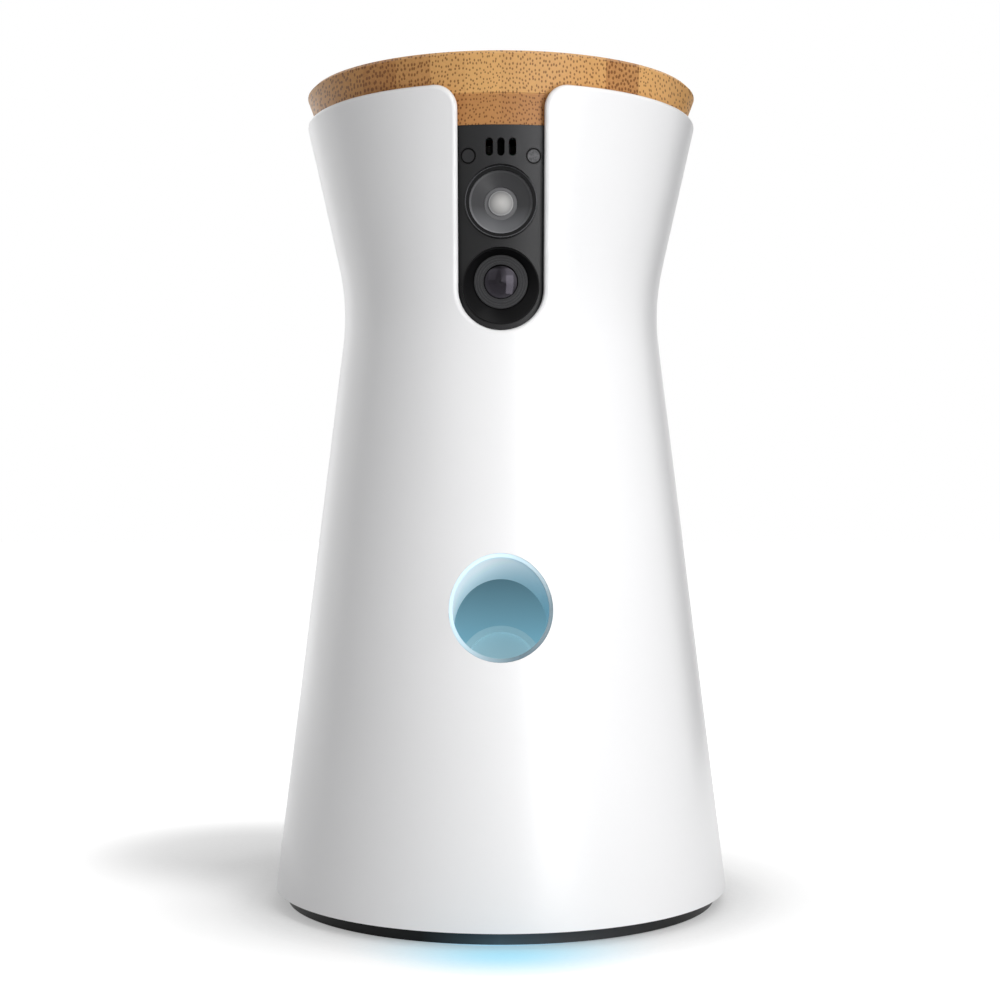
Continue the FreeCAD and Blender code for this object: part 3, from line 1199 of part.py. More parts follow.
def power_socket():
    """Metal shell of the power socket with its contact tongue."""
    start = "(io_board_y + board_wall)"
    half, thick = "(socket_width / 2)", "(socket_thickness / 2)"
    shell = box(minus(half), half, start, "socket_end", "socket_height - " + thick,
                "socket_height + " + thick)
    room = box(minus(half + " - socket_wall"), half + " - socket_wall", start + " + 2 * socket_wall",
               "socket_end + socket_wall", "socket_height - %s + socket_wall" % thick,
               "socket_height + %s - socket_wall" % thick)
    tongue = box("-socket_width / 4", "socket_width / 4", start, "socket_end - 2 * socket_wall",
                 "socket_height - socket_wall / 2", "socket_height + socket_wall / 2")
    return named(boolean("MultiFuse", boolean("Cut", shell, room), tongue), "power_socket")


def reset_switch():
    return named(box("-switch_size / 2", "switch_size / 2", "io_board_y + board_wall",
                     "%s - button_travel - switch_gap" % BUTTON_BACK, "button_height - switch_size / 2",
                     "button_height + switch_size / 2"), "reset_switch")


def reset_button():
    """Push button through the rear shell, held in by its flange."""
    flange_end = "(%s - button_flange_gap - %s)" % (lower_radius("button_height", "shell_wall"), BUTTON_BACK)
    flange_start = "(%s - button_flange_wall)" % flange_end
    edge = "(button_radius - button_edge)"
    corners = [("0", "0"), ("button_radius", "0"), ("button_radius", flange_start),
               ("button_flange", flange_start), ("button_flange", flange_end), ("button_radius", flange_end),
               ("button_radius", "button_length - button_edge"), (edge, "button_length"),
               ("0", "button_length")]
    return turned("reset_button", "y", corners, y=BUTTON_BACK, z="button_height")


# ---- lid --------------------------------------------------------------------------------------------

def lid_board():
    """Bamboo lid: a board with a smaller plug below it that sits inside the shell."""
    step = "(lid_top - lid_board_wall)"
    low = "(%s - lid_plug_gap)" % upper_radius("lid_plug_bottom", "shell_wall")
    high = "(%s - lid_plug_gap - lid_step)" % upper_radius(step, "shell_wall")
    corners = [("0", "lid_plug_bottom"), (low, "lid_plug_bottom"), (high, step), ("lid_under_radius", step),
               ("lid_radius", "lid_top - lid_edge"), ("lid_radius - lid_edge", "lid_top"), ("0", "lid_top")]
    return turned("lid_board", "z", corners)


def lid_seal():
    """Silicone ring under the lid that closes the hopper."""
    outer = upper_radius("hopper_top", HOPPER_INSET)
    ring = tube_corners("%s - seal_width" % outer, outer, "hopper_top + lid_travel_gap", "lid_plug_bottom")
    return turned("lid_seal", "z", ring)


def build():
    fill_sheet()
    for make in (front_shell, rear_shell, base_plate, foot_ring, ballast_plate, light_guide,
                 status_light_board, deck_posts, mechanism_deck, hopper, treat_shield, metering_wheel,
                 wheel_shaft, wheel_bush, wheel_gear, wheel_pinion, wheel_motor, drop_chute, treat_sensor,
                 launch_chamber, mouth_liner, stop_pad, toss_arm, toss_shaft, toss_gear, toss_pinion,
                 spring_collar, toss_spring, motor_plate, plate_spacers, toss_motor, chamber_stand,
                 arm_switch, camera_panel, lamp_bezel, lamp_reflector, lamp_core, camera_bezel,
                 camera_barrel, camera_lens, front_board, sensor_windows, microphone, main_board,
                 shield_can, speaker_boss, speaker_frame, speaker_cone, rear_board, power_socket,
                 reset_switch, reset_button, lid_board, lid_seal):
        make()
    shaft_bush("shaft_bush_right", 1)
    shaft_bush("shaft_bush_left", -1)
    post_ends = [("foot_height", 1), (DECK_TOP, -1)]
    screws("deck_screws", [(x, y, seat, way) for seat, way in post_ends for x, y in POSTS])
    screws("shell_screws", [(x, y, "(foot_height + screw_head_wall)", 1) for x, y in BOSSES])
    screws("hopper_screws", [(x, y, "(%s + hopper_ear_wall)" % DECK_TOP, -1) for x, y in EARS])
    doc.recompute()


UNION_KEEPS = 0.999  # a union smaller than this share of its largest item has lost a piece


def check():
    """Every object has to be sound before anything is written."""
    for item in doc.Objects:
        if "Invalid" in item.State or "Error" in item.State:
            raise RuntimeError("%s failed: %s" % (item.Name, item.State))
        if item.TypeId == "Part::MultiFuse":
            largest = max(joined.Shape.Volume for joined in item.Shapes)
            if item.Shape.Volume < largest * UNION_KEEPS:
                raise RuntimeError("%s has lost a piece that it joins" % item.Name)
    for item in sub_parts:
        if item.Shape.isNull() or not item.Shape.isValid() or not item.Shape.Solids:
            raise RuntimeError("%s has no sound shape" % item.Label)


def export():
    os.makedirs("parts", exist_ok=True)
    for item in sub_parts:
        item.Shape.exportStep("parts/%s.step" % item.Label)


build()
check()
export()
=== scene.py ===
"""Treat tossing pet camera: finishes, fine pieces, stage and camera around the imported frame.

Metres.  +Z is up, the front faces -Y, and the origin is the middle of the foot on the floor.
The script is laid out as an add-on: sizes and colours are properties, each piece or group of like pieces
has its own operator, and main() calls them in order.
"""
import math

import bpy
from bpy.props import FloatProperty, FloatVectorProperty, IntProperty, PointerProperty
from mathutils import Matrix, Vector


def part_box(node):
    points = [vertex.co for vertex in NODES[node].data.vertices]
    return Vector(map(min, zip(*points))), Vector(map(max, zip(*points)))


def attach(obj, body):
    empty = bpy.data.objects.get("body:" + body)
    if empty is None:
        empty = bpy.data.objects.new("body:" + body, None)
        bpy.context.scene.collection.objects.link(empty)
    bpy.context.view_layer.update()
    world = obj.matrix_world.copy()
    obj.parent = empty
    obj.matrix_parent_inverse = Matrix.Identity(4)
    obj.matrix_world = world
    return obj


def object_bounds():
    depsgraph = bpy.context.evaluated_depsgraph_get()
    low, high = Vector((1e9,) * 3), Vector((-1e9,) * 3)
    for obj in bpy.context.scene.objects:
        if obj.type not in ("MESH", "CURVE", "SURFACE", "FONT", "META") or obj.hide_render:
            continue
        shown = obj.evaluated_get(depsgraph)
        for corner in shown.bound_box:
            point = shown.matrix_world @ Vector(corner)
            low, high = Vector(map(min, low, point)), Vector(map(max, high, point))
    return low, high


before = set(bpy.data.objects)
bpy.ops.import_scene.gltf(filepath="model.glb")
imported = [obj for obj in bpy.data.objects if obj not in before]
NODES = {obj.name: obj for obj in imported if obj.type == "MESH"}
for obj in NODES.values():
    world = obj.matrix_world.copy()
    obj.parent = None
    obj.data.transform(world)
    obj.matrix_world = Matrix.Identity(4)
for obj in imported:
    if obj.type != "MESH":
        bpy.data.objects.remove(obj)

bl_info = {
    "name": "Treat tossing pet camera",
    "version": (1, 0, 0),
    "blender": (4, 5, 0),
    "location": "View3D > Sidebar > Pet Camera",
    "description": "Finishes, fine pieces, stage and camera of a treat tossing pet camera",
    "category": "Object",
}

CAD_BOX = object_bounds()
MM = 0.001
# the shell's lower cone: the height of its edge, how much it narrows for each unit of height, and the radius
# that it would have at floor level
SHELL_BOTTOM = 4 * MM
CONE_SLOPE = 0.1234
CONE_BASE = CAD_BOX[1][0] + SHELL_BOTTOM * CONE_SLOPE
# the mix node's sockets for colours, which share their names with others
FACTOR, FIRST, SECOND = 0, 6, 7
# a noise texture seldom leaves this range
NOISE_LOW, NOISE_HIGH = 0.3, 0.7
# the camera's sensor width in millimetres, its shift, and how far it stands to the right
VIEW_SENSOR, VIEW_SHIFT, VIEW_ASIDE = 36.0, (-0.0017, 0.014), 0.2 * MM
# the axes along which a round piece that faces forwards is measured
ACROSS, UP = 0, 2
# the studio's lamps: name, place and size in metres, and power in watts
SOFTBOXES = (
    ("key_strip", (0.115, -0.25, 0.15), (0.1, 0.26), 0.41),
    ("left_softbox", (-0.4, -0.75, 0.65), (0.4, 0.6), 0.5),
    ("fill_softbox", (0.55, -0.9, 0.9), (0.5, 0.6), 1.6),
    ("top_softbox", (0.25, -0.1, 1.0), (0.5, 0.5), 2.2),
    ("rim_softbox", (-0.67, 0.6, 0.2), (0.8, 0.9), 1.9),
)


def linear(hex_text):
    """An sRGB hex colour as linear red, green and blue."""
    channels = [int(hex_text[i:i + 2], 16) / 255 for i in (1, 3, 5)]
    return tuple(c / 12.92 if c <= 0.04045 else ((c + 0.055) / 1.055) ** 2.4 for c in channels)


def colour(hex_text, name, description):
    return FloatVectorProperty(name=name, description=description, subtype="COLOR", size=3, min=0, max=1,
                               default=linear(hex_text))


def length(millimetres, name, description):
    return FloatProperty(name=name, description=description, unit="LENGTH", subtype="DISTANCE",
                         precision=5, default=millimetres * MM)


def middle(node):
    low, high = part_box(node)
    return [(low[i] + high[i]) / 2 for i in range(3)]


def round_face(node, axis=ACROSS):
    """Radius, measured along one axis, height and front of a round piece that faces forwards."""
    low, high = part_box(node)
    return (high[axis] - low[axis]) / 2, (high[UP] + low[UP]) / 2, low[1]


# ---- properties -----------------------------------------------------------------------------------

class PetCameraSizes(bpy.types.PropertyGroup):
    """Sizes of the fine pieces and the patterns."""
    bundle_spacing: length(0.86, "Bundle spacing", "Distance between the dark fibre bundles of the bamboo")
    strip_width: length(9, "Strip width", "Width of one laminated bamboo strip")
    strip_seed: IntProperty(name="Strip seed", description="Picks which bamboo strips are light or dark",
                            default=43250, min=0)
    upper_board: length(10, "Upper board", "Thickness of the upper of the lid's two boards")
    seat_line: length(0.42, "Seat line", "Width of the dark line round the small windows")
    trim_wire: length(0.13, "Trim wire", "Half the thickness of the plated ring round the lamp")
    lens_step: length(0.55, "Lens step", "Width of one step of the baffle behind the lens glass")
    cloth_pitch: length(0.5, "Cloth pitch", "Thread spacing of the cloth behind the speaker holes")
    seam_width: length(0.12, "Seam width", "Width of the joint line between the two halves of the shell")
    view_distance: length(488, "View distance", "Distance of the camera from the axis of the shell")
    view_height: length(107.8, "View height", "Height of the camera above the floor")
    view_lens: FloatProperty(name="Focal length", description="Focal length of the camera", unit="CAMERA",
                             default=61.9)
    ring_steps: IntProperty(name="Ring steps", description="Straight pieces in a full ring", default=128,
                            min=32, max=256)


class PetCameraColours(bpy.types.PropertyGroup):
    """Colours of the visible finishes, and of the light and shade painted on some of them."""
    shell: colour("#f4f4f5", "Shell", "White of the moulded shell")
    bamboo: colour("#dcaa6b", "Bamboo", "Ground colour of the bamboo")
    bamboo_dark: colour("#9f6638", "Dark bamboo", "Colour of the darker strips")
    bundle: colour("#693b1a", "Fibre bundle", "Colour of the fibre bundles")
    panel: colour("#0b0b0c", "Camera panel", "Colour of the panel in the notch, low and to the left")
    # painted shine: the panel's colour where light from the upper right falls on it
    panel_painted_shine: colour("#2c2c2e", "Camera panel shine", "Colour of the same panel, high and to the right")
    black: colour("#070708", "Bezel", "Colour of the bezels and the baffle")
    lamp: colour("#a9a8a6", "Lamp diffuser", "Colour of the diffuser in the middle of the lamp")
    reflector: colour("#6c6d70", "Lamp reflector", "Colour of the cone round the diffuser, at its foot")
    # painted shade: the cone's colour at its top
    reflector_painted_shade: colour("#262628", "Reflector shade", "Colour of the same cone at its top")
    # the mouth's wall and rim: painted light on the upper left and painted shade on the lower right
    wall_painted_light: colour("#e6f0f4", "Mouth wall, left", "Lit side of the mouth's wall")
    wall_painted_shade: colour("#6f9fb3", "Mouth wall, right", "Shaded side of the mouth's wall")
    glow: colour("#d8f2ff", "Mouth glow", "Lit side of the rim of the mouth")
    rim_painted_shade: colour("#4b636e", "Mouth rim, right", "Shaded side of the rim of the mouth")
    # one teal plastic, with painted light on the arm and painted shade at the chamber's roof
    teal: colour("#76a1af", "Launch tint", "Colour of the plastic behind the mouth")
    teal_painted_shade: colour("#4d6b76", "Launch shade", "Colour of the same plastic where it lies deepest")
    teal_painted_light: colour("#89a6ae", "Arm tint", "Colour of the tossing arm")
    # painted light: the status light's spill on the floor
    status: colour("#38c8f0", "Status light", "Colour of the light under the front")
    spill: colour("#a9ddf0", "Status spill", "Colour of the floor under the status light")


# ---- materials ------------------------------------------------------------------------------------

def add(tree, kind, inputs=None, stops=(), **settings):
    """Add a node.  An input is a value, a socket, or a node whose first live output it takes."""
    item = tree.nodes.new("ShaderNode" + kind)
    for key, setting in settings.items():
        setattr(item, key, setting)
    for key, source in (inputs or {}).items():
        if isinstance(source, bpy.types.Node):
            source = next(output for output in source.outputs if output.enabled)
        if isinstance(source, bpy.types.NodeSocket):
            tree.links.new(source, item.inputs[key])
        else:
            item.inputs[key].default_value = source
    for index, (position, rgb) in enumerate(stops):
        stop = item.color_ramp.elements[index] if index < 2 else item.color_ramp.elements.new(position)
        stop.position, stop.color = position, rgba(rgb)
    return item


def rgba(rgb, factor=1.0):
    return tuple(min(channel * factor, 1.0) for channel in rgb) + (1.0,)


def per_mm(size):
    """How often a pattern of this size in millimetres comes in one metre."""
    return 1 / (size * MM)


def begin(name):
    """A new material's tree with the coordinates of the object in metres."""
    material = bpy.data.materials.new(name)
    material.use_nodes = True
    material.node_tree.nodes.clear()
    where = add(material.node_tree, "TexCoord").outputs["Object"]
    return material, material.node_tree, where


def surfaced(material, tree, inputs):
    """Close a material with its surface."""
    body = add(tree, "BsdfPrincipled", inputs)
    add(tree, "OutputMaterial", {"Surface": body})
    return material


def varied(tree, pattern, low, high):
    """A value that follows a noise pattern from low to high."""
    return add(tree, "MapRange", {"Value": pattern, "From Min": NOISE_LOW, "From Max": NOISE_HIGH,
                                  "To Min": low, "To Max": high})


def two_tone(tree, pattern, dark, light):
    """A colour that follows a noise pattern from dark to light."""
    return add(tree, "ValToRGB", {"Fac": pattern}, stops=[(NOISE_LOW, dark), (NOISE_HIGH, light)])


def moulded(name, rgb, roughness, grain_mm=0.35, depth_mm=0.004, shine=0.5):
    """Injection-moulded plastic: a spark-eroded grain, and slow changes of gloss and tone."""
    material, tree, where = begin(name)
    grain = add(tree, "TexNoise", {"Vector": where, "Scale": per_mm(grain_mm), "Detail": 2.0})
    slow = add(tree, "TexNoise", {"Vector": where, "Scale": per_mm(22)})
    tone = two_tone(tree, slow, [c * 0.94 for c in rgb], [c * 1.04 for c in rgb])
    gloss = varied(tree, grain, roughness * 0.88, roughness * 1.12)
    bump = add(tree, "Bump", {"Height": grain, "Distance": depth_mm * MM})
    return surfaced(material, tree, {"Base Color": tone, "Roughness": gloss, "IOR": 1.5, "Normal": bump,
                                     "Specular IOR Level": shine})


def worked_metal(name, rgb, roughness, along=(1, 1, 1)):
    """Turned, drawn or rolled metal: fine lines along the way it was worked."""
    material, tree, where = begin(name)
    drawn = add(tree, "Mapping", {"Vector": where, "Scale": along})
    lines = add(tree, "TexNoise", {"Vector": drawn, "Scale": per_mm(0.4), "Detail": 4.0})
    gloss = varied(tree, lines, roughness * 0.7, roughness * 1.3)
    tone = two_tone(tree, lines, [c * 0.85 for c in rgb], rgb)
    bump = add(tree, "Bump", {"Height": lines, "Distance": 0.003 * MM})
    return surfaced(material, tree, {"Base Color": tone, "Metallic": 1.0, "Roughness": gloss,
                                     "Normal": bump})


def shell_plastic(sizes, colours):
    """ABS from a polished mould: high gloss over a very slight waviness, and the fine dark joint line where
    the two halves meet."""
    material, tree, where = begin("gloss_white_ABS")
    wave = add(tree, "TexNoise", {"Vector": where, "Scale": per_mm(45), "Detail": 1.0})
    speck = add(tree, "TexNoise", {"Vector": where, "Scale": per_mm(0.6)})
    parts = add(tree, "SeparateXYZ", {"Vector": where})
    from_joint = add(tree, "Math", {0: parts.outputs["Y"]}, operation="ABSOLUTE")
    beside = add(tree, "MapRange", {"Value": from_joint, "From Min": sizes.seam_width * 0.5,
                                    "From Max": sizes.seam_width})
    tone = two_tone(tree, wave, [c * 0.985 for c in colours.shell], colours.shell)
    lined = add(tree, "Mix", {FACTOR: beside, FIRST: rgba(colours.shell, 0.42), SECOND: tone},
                data_type="RGBA")
    gloss = varied(tree, speck, 0.3, 0.35)
    bump = add(tree, "Bump", {"Height": wave, "Distance": 0.02 * MM, "Strength": 0.2})
    return surfaced(material, tree, {"Base Color": lined, "Roughness": gloss, "IOR": 1.52, "Normal": bump,
                                     "Coat Weight": 0.15, "Coat Roughness": 0.2})


def lid_bamboo(sizes, colours):
    """Laminated bamboo, sanded and oiled: strips glued side by side with their fibres along Y, so the edge
    shows end grain as dark dots at front and back, and as streaks at the sides."""
    material, tree, where = begin("oiled_laminated_bamboo")
    parts = add(tree, "SeparateXYZ", {"Vector": where})
    across = add(tree, "Math", {0: parts.outputs["X"], 1: sizes.strip_width}, operation="DIVIDE")
    strip = add(tree, "Math", {0: across}, operation="FLOOR")
    picked = add(tree, "Math", {0: strip, 1: sizes.strip_seed}, operation="ADD")
    chance = add(tree, "TexWhiteNoise", {"W": picked}, noise_dimensions="1D")
    # the fibre bundles run along Y and wander a little, are stretched in height, and are thicker in the
    # darker strips
    stretch, wander_by = 0.72, (3 * MM, 3 * MM, 0)
    upright = add(tree, "Math", {0: parts.outputs["Z"], 1: stretch}, operation="MULTIPLY")
    section = add(tree, "CombineXYZ", {"X": parts.outputs["X"], "Y": upright})
    wander = add(tree, "TexNoise", {"Vector": where, "Scale": per_mm(18)})
    shift = add(tree, "VectorMath", {0: wander.outputs["Color"], 1: wander_by}, operation="MULTIPLY")
    bent = add(tree, "VectorMath", {0: section, 1: shift}, operation="ADD")
    cells = add(tree, "TexVoronoi", {"Vector": bent, "Scale": 1 / sizes.bundle_spacing, "Randomness": 0.7},
                voronoi_dimensions="2D")
    core = add(tree, "MapRange", {"Value": chance, "To Min": 0.25, "To Max": 0.12})
    soft = add(tree, "Math", {0: core, 1: 0.16}, operation="ADD")
    dots = add(tree, "MapRange", {"Value": cells.outputs["Distance"], "From Min": core, "From Max": soft,
                                  "To Min": 1.0, "To Max": 0.0})
    fine = add(tree, "Mapping", {"Vector": where, "Scale": (1, 0.03, 1)})
    fibre = add(tree, "TexNoise", {"Vector": fine, "Scale": per_mm(0.7), "Detail": 5.0, "Roughness": 0.6})
    dark, light = rgba(colours.bamboo_dark), rgba(colours.bamboo)
    strips = add(tree, "Mix", {FACTOR: chance, FIRST: dark, SECOND: light}, data_type="RGBA")
    cloudy = add(tree, "TexNoise", {"Vector": where, "Scale": per_mm(16)})
    cloud = add(tree, "MapRange", {"Value": cloudy, "From Min": 0.35, "From Max": 0.65, "To Max": 0.25})
    ground = add(tree, "Mix", {FACTOR: cloud, FIRST: strips, SECOND: light}, data_type="RGBA")
    lift = varied(tree, fibre, 0.0, 0.3)
    lifted = add(tree, "Mix", {FACTOR: lift, FIRST: ground, SECOND: rgba(colours.bamboo, 1.15)},
                 data_type="RGBA")
    strength = add(tree, "Math", {0: dots, 1: 0.8}, operation="MULTIPLY")
    dotted = add(tree, "Mix", {FACTOR: strength, FIRST: lifted, SECOND: rgba(colours.bundle)},
                 data_type="RGBA")
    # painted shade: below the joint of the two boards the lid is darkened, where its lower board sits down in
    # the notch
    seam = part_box("lid_board")[1][2] - sizes.upper_board
    lower = add(tree, "MapRange", {"Value": parts.outputs["Z"], "From Min": seam - 0.4 * MM, "From Max": seam,
                                   "To Min": 0.5, "To Max": 0.0})
    tone = add(tree, "Mix", {FACTOR: lower, FIRST: dotted, SECOND: dark}, data_type="RGBA",
               blend_type="MULTIPLY")
    gloss = varied(tree, fibre, 0.38, 0.52)
    sunk = add(tree, "Math", {0: dots, 1: -0.6, 2: fibre}, operation="MULTIPLY_ADD")
    bump = add(tree, "Bump", {"Height": sunk, "Distance": 0.05 * MM, "Strength": 0.5})
    return surfaced(material, tree, {"Base Color": tone, "Roughness": gloss, "IOR": 1.5, "Normal": bump,
                                     "Specular IOR Level": 0.25})


def inside_shell(tree, where):
    """How far a point lies behind the lower cone's outer face, and its coordinates."""
    parts = add(tree, "SeparateXYZ", {"Vector": where})
    flat = add(tree, "VectorMath", {0: where, 1: (1, 1, 0)}, operation="MULTIPLY")
    across = add(tree, "VectorMath", {0: flat}, operation="LENGTH")
    face = add(tree, "Math", {0: parts.outputs["Z"], 1: -CONE_SLOPE, 2: CONE_BASE}, operation="MULTIPLY_ADD")
    return add(tree, "Math", {0: face, 1: across.outputs["Value"]}, operation="SUBTRACT"), parts


def mouth_plastic(colours):
    """Tinted acrylic with painted light and shade: a nearly white rim, and an even teal wall that is paler
    where the room's light reaches it, both lit on the upper left and shaded on the lower right, under a faint
    painted glow."""
    material, tree, where = begin("painted_glow_tinted_acrylic")
    depth, _ = inside_shell(tree, where)
    centre, lower_right = middle("mouth_liner"), (0.85, 0, -0.5)
    from_centre = add(tree, "VectorMath", {0: where, 1: centre}, operation="SUBTRACT")
    towards = add(tree, "VectorMath", {0: from_centre, 1: lower_right}, operation="DOT_PRODUCT")
    # painted light and shade: the side towards the upper left is lit, the side towards the lower right shaded
    side = add(tree, "MapRange", {"Value": towards.outputs["Value"], "From Min": -11 * MM,
                                  "From Max": 9 * MM})
    near = add(tree, "MapRange", {"Value": depth, "From Min": 0.3 * MM, "From Max": 1.2 * MM, "To Min": 1.0,
                                  "To Max": 0.0})
    # painted light: the wall is paler near the front, where the room's light reaches, and turns teal deeper
    # in
    deep = add(tree, "MapRange", {"Value": depth, "From Min": 2 * MM, "From Max": 15 * MM, "To Max": 0.6})
    wall = add(tree, "Mix", {FACTOR: side, FIRST: rgba(colours.wall_painted_light), SECOND: rgba(colours.wall_painted_shade)},
               data_type="RGBA")
    inner = add(tree, "Mix", {FACTOR: deep, FIRST: wall, SECOND: rgba(colours.teal)}, data_type="RGBA")
    rim = add(tree, "Mix", {FACTOR: side, FIRST: rgba(colours.glow), SECOND: rgba(colours.rim_painted_shade)},
              data_type="RGBA")
    tone = add(tree, "Mix", {FACTOR: near, FIRST: inner, SECOND: rim}, data_type="RGBA")
    grain = add(tree, "TexNoise", {"Vector": where, "Scale": per_mm(0.5)})
    gloss = varied(tree, grain, 0.28, 0.36)
    bump = add(tree, "Bump", {"Height": grain, "Distance": 0.004 * MM})
    # painted glow: the liner is no lamp, and its emission stands in for light
    return surfaced(material, tree, {"Base Color": tone, "Roughness": gloss, "IOR": 1.49, "Normal": bump,
                                     "Emission Color": tone, "Emission Strength": 0.3})


def launcher_plastic(name, low_rgb, high_rgb):
    """Tinted ABS with a painted glow that stands in for the mouth's light passed on, and painted shade that
    darkens it between the mouth's foot and top.
    """
    material, tree, where = begin(name)
    mouth_low, mouth_high = 68 * MM, 90 * MM
    parts = add(tree, "SeparateXYZ", {"Vector": where})
    # painted shade: the colour darkens towards the top
    high = add(tree, "MapRange", {"Value": parts.outputs["Z"], "From Min": mouth_low, "From Max": mouth_high})
    tone = add(tree, "Mix", {FACTOR: high, FIRST: rgba(low_rgb), SECOND: rgba(high_rgb)}, data_type="RGBA")
    grain = add(tree, "TexNoise", {"Vector": where, "Scale": per_mm(0.5)})
    gloss = varied(tree, grain, 0.4, 0.5)
    bump = add(tree, "Bump", {"Height": grain, "Distance": 0.004 * MM})
    # painted glow: the emission stands in for the light that comes in through the mouth
    return surfaced(material, tree, {"Base Color": tone, "Roughness": gloss, "IOR": 1.5, "Normal": bump,
                                     "Emission Color": tone, "Emission Strength": 0.75})


def lamp_frost(colours):
    """Frosted polycarbonate: a soft glow in the middle that fades outwards to a grey ring, with a thin
    painted highlight near the diffuser's edge.
    """
    material, tree, where = begin("frosted_polycarbonate")
    height, fade_reach = middle("lamp_core")[2], 4.3 * MM
    centred = add(tree, "Mapping", {"Vector": where, "Location": (0, 0, -height)})
    flat = add(tree, "VectorMath", {0: centred, 1: (1, 0, 1)}, operation="MULTIPLY")
    away = add(tree, "VectorMath", {0: flat}, operation="LENGTH")
    spread = add(tree, "MapRange", {"Value": away.outputs["Value"], "From Max": fade_reach})
    # the thin pale ring near the edge is a painted highlight
    tone = add(tree, "ValToRGB", {"Fac": spread},
               stops=[(0.0, colours.lamp), (0.5, linear("#8f8e8d")), (0.68, linear("#7d7d7d")),
                      (0.72, linear("#a2a2a3")), (0.76, linear("#4b4b4d"))])
    frost = add(tree, "TexNoise", {"Vector": where, "Scale": per_mm(0.25)})
    gloss = varied(tree, frost, 0.45, 0.6)
    bump = add(tree, "Bump", {"Height": frost, "Distance": 0.006 * MM})
    return surfaced(material, tree, {"Base Color": tone, "Roughness": gloss, "IOR": 1.58, "Normal": bump,
                                     "Emission Color": tone, "Emission Strength": 0.25})


def panel_plastic(colours):
    """Satin charcoal polycarbonate with a painted shine: its colour grows lighter towards the upper right."""
    material, tree, where = begin("satin_charcoal_polycarbonate")
    low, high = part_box("camera_panel")
    shade_left, shine_right, shade_height = -11 * MM, 9 * MM, 20 * MM
    parts = add(tree, "SeparateXYZ", {"Vector": where})
    # painted shine: the colour lightens towards the right and towards the top
    aside = add(tree, "MapRange", {"Value": parts.outputs["X"], "From Min": shade_left,
                                   "From Max": shine_right})
    above = add(tree, "MapRange", {"Value": parts.outputs["Z"], "From Min": low[2] + shade_height,
                                   "From Max": high[2], "To Min": 0.25, "To Max": 1.0})
    shine = add(tree, "Math", {0: aside, 1: above}, operation="MULTIPLY")
    tone = add(tree, "Mix", {FACTOR: shine, FIRST: rgba(colours.panel), SECOND: rgba(colours.panel_painted_shine)},
               data_type="RGBA")
    grain = add(tree, "TexNoise", {"Vector": where, "Scale": per_mm(0.3), "Detail": 2.0})
    gloss = varied(tree, grain, 0.38, 0.46)
    bump = add(tree, "Bump", {"Height": grain, "Distance": 0.004 * MM})
    return surfaced(material, tree, {"Base Color": tone, "Roughness": gloss, "IOR": 1.58, "Normal": bump,
                                     "Specular IOR Level": 0.2})


def lamp_cone(colours):
    """Satin grey reflector with painted shade, darker at its top, which the bezel shades, and a painted
    highlight along its lower edge.
    """
    material, tree, where = begin("satin_grey_reflector")
    radius, height, _ = round_face("lamp_reflector", UP)
    parts = add(tree, "SeparateXYZ", {"Vector": where})
    up = add(tree, "MapRange", {"Value": parts.outputs["Z"], "From Min": height - radius,
                                "From Max": height + radius})
    tone = add(tree, "ValToRGB", {"Fac": up},
               stops=[(0.05, colours.reflector), (0.45, linear("#373739")), (0.9, colours.reflector_painted_shade)])
    # painted highlight: a pale line along the lower half of the cone's edge
    flat = add(tree, "VectorMath", {0: where, 1: (1, 0, 1)}, operation="MULTIPLY")
    away = add(tree, "VectorMath", {0: flat, 1: (0, 0, height)}, operation="DISTANCE")
    edge = add(tree, "MapRange", {"Value": away.outputs["Value"], "From Min": radius - 0.6 * MM,
                                  "From Max": radius - 0.4 * MM})
    below = add(tree, "MapRange", {"Value": up, "To Min": 0.55, "To Max": 0.05})
    rim = add(tree, "Math", {0: edge, 1: below}, operation="MULTIPLY")
    tone = add(tree, "Mix", {FACTOR: rim, FIRST: tone, SECOND: rgba(linear("#8b8b8e"))}, data_type="RGBA")
    grain = add(tree, "TexNoise", {"Vector": where, "Scale": per_mm(0.4)})
    gloss = varied(tree, grain, 0.3, 0.36)
    bump = add(tree, "Bump", {"Height": grain, "Distance": 0.004 * MM})
    return surfaced(material, tree, {"Base Color": tone, "Roughness": gloss, "IOR": 1.5, "Normal": bump,
                                     "Specular IOR Level": 0.3})


def smoked_window(sizes):
    """Smoked acrylic of the two small windows, with the dark line of its seat round each."""
    material, tree, where = begin("smoked_window_acrylic")
    low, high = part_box("sensor_windows")
    radius, height, _ = round_face("sensor_windows", UP)
    parts = add(tree, "SeparateXYZ", {"Vector": where})
    aside = add(tree, "Math", {0: parts.outputs["X"]}, operation="ABSOLUTE")
    folded = add(tree, "CombineXYZ", {"X": aside, "Z": parts.outputs["Z"]})
    away = add(tree, "VectorMath", {0: folded, 1: (high[0] - radius, 0, height)}, operation="DISTANCE")
    seat = add(tree, "MapRange", {"Value": away.outputs["Value"], "From Min": radius - sizes.seat_line,
                                  "From Max": radius - sizes.seat_line * 0.8})
    grain = add(tree, "TexNoise", {"Vector": where, "Scale": per_mm(0.5)})
    # the smoke follows the grain and grows lighter towards the right
    across = add(tree, "MapRange", {"Value": parts.outputs["X"], "From Min": low[0], "From Max": high[0]})
    clouded = add(tree, "Math", {0: grain, 1: across}, operation="MULTIPLY")
    smoke = add(tree, "ValToRGB", {"Fac": clouded},
                stops=[(0.1, linear("#343435")), (0.6, linear("#6a6a6c"))])
    tone = add(tree, "Mix", {FACTOR: seat, FIRST: smoke, SECOND: rgba(linear("#020202"))}, data_type="RGBA")
    return surfaced(material, tree, {"Base Color": tone, "Roughness": 0.3, "IOR": 1.49,
                                     "Specular IOR Level": 0.06})


